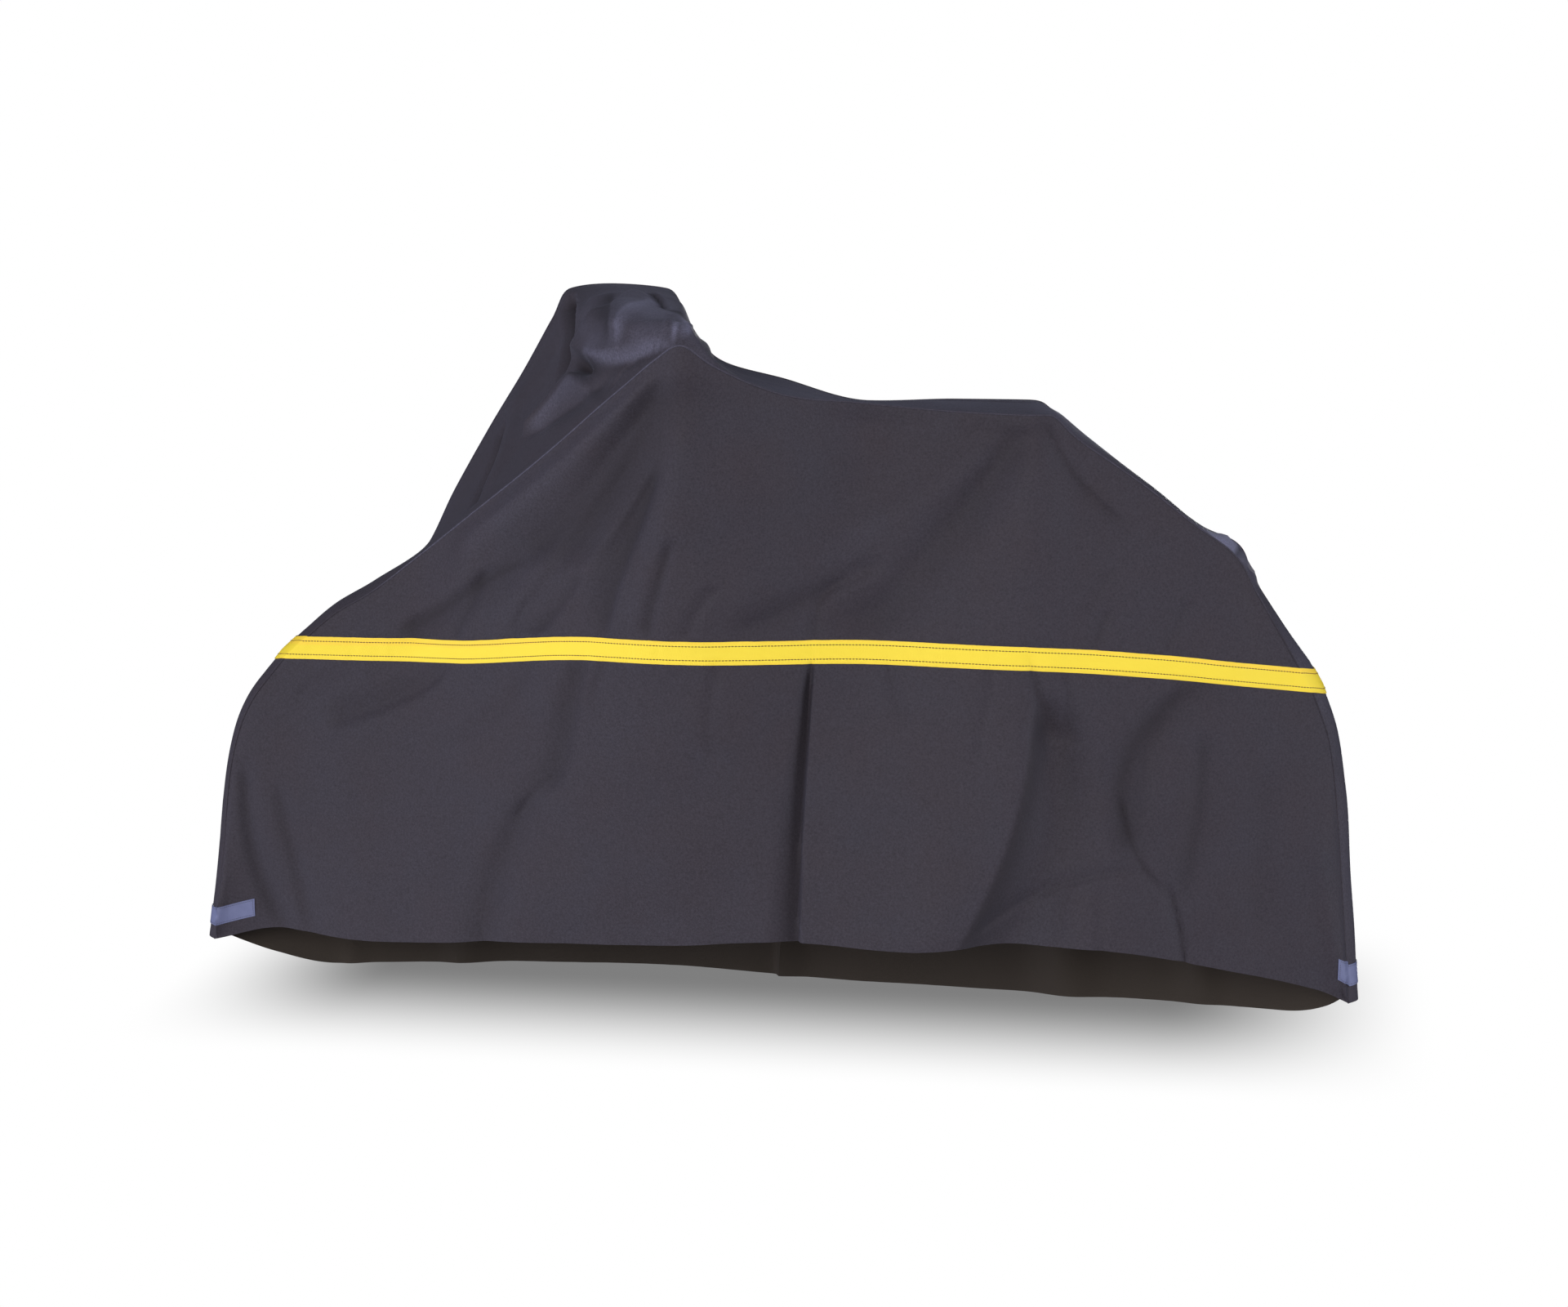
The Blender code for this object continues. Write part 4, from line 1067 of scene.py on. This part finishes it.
def label_points(table, near_x, far_x, lift, tall):
    """Rows of a label from its lower to its upper edge, from near_x on the near side round the
    nose to far_x on the far side, or to the middle of the nose where far_x is None. It starts
    lift above the hem and is this tall."""
    rows = np.linspace(0.0, 1.0, LABEL_ROWS)[:, None]
    nose_x = table[0][1]
    inward = 1.0 if nose_x < 0 else -1.0
    parts = []
    for side, stop in ((NEAR, near_x), (FAR, far_x)):
        if stop is None:
            continue
        count = max(2, int(abs(stop - nose_x) / LABEL_STEP))
        x = np.linspace(nose_x + LABEL_START * inward, stop, count)[None, :] + 0.0 * rows
        low = through(side.hem, x)[..., 1] + lift
        parts.append(side.surface(x, low + tall * rows))
    heights = table[0][4] + lift + tall * rows[:, 0]
    nose = nose_rows(table, heights)
    if far_x is None:
        half = nose[:, 1:len(NOSE_ACROSS) // 2 + 1][:, ::-1]
        return np.concatenate([half, parts[0]], axis=1)
    return np.concatenate([parts[0][:, ::-1], nose[:, 1:-1], parts[1]], axis=1)


labels = []
label_threads = []
for name, table, near_x, far_x, lift, tall in LABELS:
    points = label_points(table, near_x, far_x, lift, tall)
    labels.append(strip_piece(f"{name}_woven_label", points, LAY_GAP, LABEL_THICK))
    outs = face_normals(points)
    place = STITCH_INSET / tall * (LABEL_ROWS - 1)
    k = int(place)
    line = [row_between(points[::-1], place)[1:-1], points[1:-1, -2][::-1],
            row_between(points, place)[1:-1][::-1]]
    normal = [outs[-1 - k][1:-1], outs[1:-1, -2][::-1], outs[k][1:-1][::-1]]
    if far_x is not None:
        line.append(points[1:-1, 1])
        normal.append(outs[1:-1, 1])
    normal = np.vstack(normal)
    line = np.vstack(line) + normal * (LAY_GAP + LABEL_THICK)
    label_threads.append(stitches(f"{name}_label_thread", line, normal, *LABEL_STITCH))

# ------------------------------------------------------------------ welts along the two long seams
WELT = 0.0013
WELT_THICK = 0.0008
WELT_HIGHLIGHT = 0.25        # painted highlight: how much paler the welt over the top is painted, for the light along the seam's edge
WELT_HIGHLIGHT_FROM = 0.60   # the height it starts from, and over how much height it comes up
WELT_HIGHLIGHT_OVER = 0.08
WELT_FADE = 0.6         # how much less behind this x, and over what length it fades
WELT_FADE_FROM = -0.15
WELT_FADE_OVER = 0.10
WELT_TURN = np.radians(np.linspace(-105.0, 105.0, 8))


def welt(name, line, side_out, strip_out):
    """The narrow rounded welt that a turned seam makes along the cloth's edge."""
    run = np.gradient(line, axis=0)
    run /= np.linalg.norm(run, axis=1)[:, None]
    out = strip_out + side_out
    out -= run * np.sum(out * run, axis=1)[:, None]
    out /= np.linalg.norm(out, axis=1)[:, None]
    aside = np.cross(run, out)
    rows = np.array([line + (out * math.cos(turn) - aside * math.sin(turn)) * WELT
                     for turn in WELT_TURN])
    piece = cloth_piece(name, rows, WELT_THICK)
    metric_uv(piece, lengths_along(rows, 1), lengths_along(rows, 0))
    # Painted highlight along the welt, coming up from the height above and fading behind the crown
    pale = ease((line[:, 2] - WELT_HIGHLIGHT_FROM) / WELT_HIGHLIGHT_OVER)
    pale = pale * (1.0 - WELT_FADE * ease((line[:, 0] - WELT_FADE_FROM) / WELT_FADE_OVER))
    paint(piece, "painted_highlight", np.tile(WELT_HIGHLIGHT * pale, len(rows)))
    return piece


strip_outs = face_normals(centre_points)
welts = [
    welt("near_seam_welt", centre_points[0], np.array((0.0, -1.0, 0.1)), strip_outs[0]),
    welt("far_seam_welt", centre_points[-1][::-1], np.array((0.0, 1.0, 0.1)), strip_outs[-1][::-1]),
]


# ------------------------------------------------------------------ finishes
# Tones of the cloth: its two ground tones, its painted highlight (a pale bluish sheen where light falls),
# its painted shade (dark in folds and recesses), and its flecks
GROUND_TONES = ((0.060, 0.0485, 0.059), (0.057, 0.0535, 0.071))
PAINTED_HIGHLIGHT_TONE = (0.300, 0.293, 0.430)
PAINTED_SHADE_TONE = (0.016, 0.013, 0.015)
FLECK_TONE = (0.018, 0.015, 0.018)
# Steps from thread to thread in the weaves
CLOTH_WEAVE = 0.0016
BAND_WEAVE = 0.0024
LABEL_WEAVE = 0.0012
BAND_EDGE = (0.40, 0.50)    # shares of the band's width, from its middle, where its edge tone comes


def new_finish(name, colour, roughness, specular=None):
    """A material with its shader; returns it with its node tree."""
    finish = bpy.data.materials.new(name)
    finish.use_nodes = True
    shader = finish.node_tree.nodes["Principled BSDF"]
    shader.inputs["Base Color"].default_value = (*colour, 1.0)
    shader.inputs["Roughness"].default_value = roughness
    if specular is not None:
        shader.inputs["Specular IOR Level"].default_value = specular
    return finish, finish.node_tree


def to_shader(tree, socket, name):
    tree.links.new(socket, tree.nodes["Principled BSDF"].inputs[name])


def calculate(tree, operation, first, second=0.0):
    """A number worked out from a socket and, where it takes two, a socket or a fixed number."""
    node = tree.nodes.new("ShaderNodeMath")
    node.operation = operation
    for value, socket in ((first, node.inputs[0]), (second, node.inputs[1])):
        if isinstance(value, float):
            socket.default_value = value
        else:
            tree.links.new(value, socket)
    return node.outputs[0]


def colour_mix(tree, factor, low, high):
    """From low, a tone or a socket, where the factor is 0, to the tone high where it is 1."""
    node = tree.nodes.new("ShaderNodeMix")
    node.data_type = "RGBA"
    tree.links.new(factor, node.inputs[0])
    if isinstance(low, tuple):
        node.inputs[6].default_value = (*low, 1.0)
    else:
        tree.links.new(low, node.inputs[6])
    node.inputs[7].default_value = (*high, 1.0)
    return node.outputs[2]


def cloth_metres(tree):
    """The two measures of a piece's own UV map, along it and up it, in metres."""
    place = tree.nodes.new("ShaderNodeUVMap")
    place.uv_map = "cloth"
    split = tree.nodes.new("ShaderNodeSeparateXYZ")
    tree.links.new(place.outputs["UV"], split.inputs[0])
    return split.outputs["X"], split.outputs["Y"]


def weave_height(tree, pitch):
    """Two crossing sets of threads."""
    waves = [calculate(tree, "SINE", calculate(tree, "MULTIPLY", metres, 2 * math.pi / pitch))
             for metres in cloth_metres(tree)]
    return calculate(tree, "MULTIPLY", *waves)


def noise(tree, scale, detail, rough=0.5):
    place = tree.nodes.new("ShaderNodeTexCoord")
    cloud = tree.nodes.new("ShaderNodeTexNoise")
    cloud.inputs["Scale"].default_value = scale
    cloud.inputs["Detail"].default_value = detail
    cloud.inputs["Roughness"].default_value = rough
    tree.links.new(place.outputs["Object"], cloud.inputs["Vector"])
    return cloud.outputs["Fac"]


def bump(tree, *heights):
    """Bumps stacked one on the other: (height socket, strength, distance in metres)."""
    last = None
    for height, strength, distance in heights:
        node = tree.nodes.new("ShaderNodeBump")
        node.inputs["Strength"].default_value = strength
        node.inputs["Distance"].default_value = distance
        tree.links.new(height, node.inputs["Height"])
        if last is not None:
            tree.links.new(last.outputs["Normal"], node.inputs["Normal"])
        last = node
    to_shader(tree, last.outputs["Normal"], "Normal")


def outer_cloth():
    finish, tree = new_finish("dark_coated_cloth", (0.05, 0.047, 0.062), 0.62, 0.07)
    shader = tree.nodes["Principled BSDF"]
    shader.inputs["Sheen Weight"].default_value = 0.04
    shader.inputs["Sheen Roughness"].default_value = 0.45
    shader.inputs["Sheen Tint"].default_value = (0.72, 0.76, 1.0, 1.0)
    tone = colour_mix(tree, noise(tree, 11.0, 3.0, 0.6), *GROUND_TONES)
    # Painted highlight and painted shade: the painted attributes pull the tone towards a pale bluish sheen
    # and towards the dark of shade in folds
    for name, colour in (("painted_highlight", PAINTED_HIGHLIGHT_TONE), ("painted_shade", PAINTED_SHADE_TONE)):
        painted = tree.nodes.new("ShaderNodeAttribute")
        painted.attribute_name = name
        tone = colour_mix(tree, painted.outputs["Fac"], tone, colour)
    tone = colour_mix(tree, noise(tree, 300.0, 3.0, 0.75), tone, FLECK_TONE)
    to_shader(tree, tone, "Base Color")
    bump(tree, (weave_height(tree, CLOTH_WEAVE), 0.25, 0.0002),
         (noise(tree, 420.0, 2.0), 0.35, 0.0006), (noise(tree, 38.0, 3.0), 0.25, 0.0020))
    return finish


def mottled(name, colour, roughness, specular, cloud, low, high):
    """A finish whose tone drifts from low to high; cloud is the drift's scale and detail."""
    finish, tree = new_finish(name, colour, roughness, specular)
    to_shader(tree, colour_mix(tree, noise(tree, *cloud), low, high), "Base Color")
    return finish, tree


def inner_coat():
    finish, tree = mottled("inner_coat", (0.034, 0.0275, 0.023), 0.8, 0.02, (9.0, 3.0),
                           (0.0315, 0.0255, 0.0215), (0.0365, 0.0295, 0.0250))
    bump(tree, (noise(tree, 300.0, 2.0), 0.3, 0.0004))
    return finish


def yellow_webbing():
    finish, tree = new_finish("yellow_webbing", (0.93, 0.72, 0.02), 0.6, 0.3)
    up = calculate(tree, "SUBTRACT", cloth_metres(tree)[1], BAND_WIDTH / 2)
    edge = tree.nodes.new("ShaderNodeMapRange")     # 0 in the middle of the band, 1 at its edges
    tree.links.new(calculate(tree, "ABSOLUTE", up), edge.inputs["Value"])
    edge.inputs["From Min"].default_value = BAND_WIDTH * BAND_EDGE[0]
    edge.inputs["From Max"].default_value = BAND_WIDTH * BAND_EDGE[1]
    tone = colour_mix(tree, edge.outputs[0], (0.81, 0.610, 0.042), (0.83, 0.570, 0.047))
    to_shader(tree, tone, "Base Color")
    bump(tree, (weave_height(tree, BAND_WEAVE), 0.5, 0.0003), (noise(tree, 500.0, 2.0), 0.3, 0.0004))
    return finish


def brown_thread():
    return mottled("brown_thread", (0.20, 0.095, 0.012), 0.6, None, (160.0, 2.0),
                   (0.10, 0.045, 0.008), (0.19, 0.085, 0.012))[0]


def woven_label():
    finish, tree = mottled("grey_blue_label", (0.15, 0.16, 0.32), 0.5, 0.3, (90.0, 3.0),
                           (0.105, 0.115, 0.215), (0.140, 0.150, 0.265))
    bump(tree, (weave_height(tree, LABEL_WEAVE), 0.4, 0.0002))
    return finish


def dark_thread():
    return mottled("dark_thread", (0.03, 0.03, 0.05), 0.6, None, (160.0, 2.0),
                   (0.022, 0.022, 0.038), (0.040, 0.040, 0.062))[0]


cloths = (near_lower, near_upper, far_lower, far_upper, *centres, *welts)
for pieces, finishes in ((labels, (woven_label(),)), (label_threads, (dark_thread(),)),
                         (cloths, (outer_cloth(), inner_coat())), (bands, (yellow_webbing(),)),
                         (band_threads, (brown_thread(),))):
    for piece in pieces:
        for finish in finishes:
            piece.data.materials.append(finish)

# ------------------------------------------------------------------ bodies and nodes
def belongs(piece, slot, *nodes):
    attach(piece, "root")
    if nodes:
        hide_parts(*nodes)


belongs(near_lower, "cover_cloth", "near_side_panel")
belongs(near_upper, "cover_cloth", "near_side_panel")
belongs(far_lower, "cover_cloth", "far_side_panel")
belongs(far_upper, "cover_cloth", "far_side_panel")
belongs(centres[0], "cover_cloth", "centre_panel")
belongs(centres[1], "cover_cloth", "centre_panel")
for piece in welts:
    belongs(piece, "cover_cloth")
belongs(labels[0], "label", "front_label")
belongs(labels[1], "label", "rear_label")
for piece in label_threads:
    belongs(piece, "label")
belongs(bands[0], "band", "near_band")
belongs(bands[1], "band", "far_band")
for piece in band_threads:
    belongs(piece, "band")

# ------------------------------------------------------------------ floor, lights, camera
FLOOR = -0.0055 - CARRY[2]      # just under the far hem
# Soft shade on the floor under the cover: how deep, and where it starts and is full, going in
# from its two ends along X and from its two sides along Y
SHADE = 0.79
SHADE_X = ((-1.00, -0.66), (1.02, 0.58))
SHADE_Y = ((-0.55, 0.10), (0.78, 0.20))
WHITE = (1.0, 1.0, 1.0)
# Name, direction towards it, how wide it is in degrees, strength, colour
LIGHTS = (
    ("key_light", (-0.12, -1.0, 0.26), 25.0, 2.78, WHITE),
    ("sky_light", (0.0, -0.3, 1.0), 140.0, 0.45, (0.84, 0.89, 1.0)),
    ("left_light", (-1.0, -0.45, 0.0), 40.0, 1.28, (0.82, 0.87, 1.0)),
    ("low_left_light", (-0.7, -0.30, -0.65), 60.0, 1.40, (0.82, 0.87, 1.0)),
    ("right_light", (1.0, -0.10, 0.05), 40.0, 2.42, (0.88, 0.92, 1.0)),
    ("back_light", (-0.05, 1.0, -0.25), 30.0, 3.2, WHITE),
)

bpy.ops.object.select_all(action="DESELECT")
bpy.ops.mesh.primitive_plane_add(size=60.0, location=(0.0, 0.0, FLOOR))
floor = bpy.context.object
floor.name = "pale_floor"
floor.visible_diffuse = False
floor.visible_glossy = False
floor.visible_shadow = False     # light comes up through it, as a pale floor sends it back
floor_finish = bpy.data.materials.new("pale_floor")
floor_finish.use_nodes = True
tree = floor_finish.node_tree
tree.nodes.clear()
place = tree.nodes.new("ShaderNodeTexCoord")
split = tree.nodes.new("ShaderNodeSeparateXYZ")
tree.links.new(place.outputs["Object"], split.inputs[0])


def fade(axis, start, full):
    """0 before start and 1 past full along the floor, eased between."""
    ramp = tree.nodes.new("ShaderNodeMapRange")
    ramp.interpolation_type = "SMOOTHSTEP"
    ramp.inputs["From Min"].default_value = start - CARRY[axis]
    ramp.inputs["From Max"].default_value = full - CARRY[axis]
    tree.links.new(split.outputs[axis], ramp.inputs["Value"])
    return ramp.outputs["Result"]


shades = [calculate(tree, "MULTIPLY", *[fade(axis, *ends) for ends in rows])
          for axis, rows in enumerate((SHADE_X, SHADE_Y))]
shade = calculate(tree, "MULTIPLY", calculate(tree, "MULTIPLY", *shades), SHADE)
glow = tree.nodes.new("ShaderNodeEmission")
out = tree.nodes.new("ShaderNodeOutputMaterial")
tree.links.new(calculate(tree, "SUBTRACT", 1.0, shade), glow.inputs["Strength"])
tree.links.new(glow.outputs[0], out.inputs["Surface"])
floor.data.materials.append(floor_finish)

world = bpy.data.worlds.new("studio")
bpy.context.scene.world = world
world.use_nodes = True
sky = world.node_tree.nodes["Background"]
sky.inputs["Color"].default_value = (*WHITE, 1.0)
sky.inputs["Strength"].default_value = 1.0
world.cycles_visibility.diffuse = False
world.cycles_visibility.glossy = False

for name, place, angle, strength, colour in LIGHTS:
    lamp = bpy.data.lights.new(name, "SUN")
    lamp.angle = math.radians(angle)
    lamp.energy = strength
    lamp.color = colour
    light = bpy.data.objects.new(name, lamp)
    bpy.context.scene.collection.objects.link(light)
    light.rotation_euler = (-Vector(place)).to_track_quat("-Z", "Y").to_euler()

AZIMUTH, ELEVATION, ROLL = math.radians(8.0), math.radians(7.6), math.radians(1.0)
DISTANCE = 6.0
TARGET = Vector((0.0, 0.0, 0.55)) - Vector(CARRY)
back = Vector((math.sin(AZIMUTH) * math.cos(ELEVATION), -math.cos(AZIMUTH) * math.cos(ELEVATION),
               math.sin(ELEVATION)))
right = (-back).cross(Vector((0.0, 0.0, 1.0))).normalized()
up = right.cross(-back)
rolled_right = right * math.cos(ROLL) + up * math.sin(ROLL)
rolled_up = -right * math.sin(ROLL) + up * math.cos(ROLL)
lens = bpy.data.cameras.new("camera")
lens.lens = 87.75
lens.sensor_width = 36.0
lens.shift_x = -0.0078
lens.shift_y = -0.0026
lens.clip_end = 200.0
camera = bpy.data.objects.new("camera", lens)
bpy.context.scene.collection.objects.link(camera)
turn = Matrix((rolled_right, rolled_up, back)).transposed()
camera.matrix_world = Matrix.Translation(TARGET + back * DISTANCE) @ turn.to_4x4()
bpy.context.scene.camera = camera
bpy.context.scene.view_settings.view_transform = "Standard"
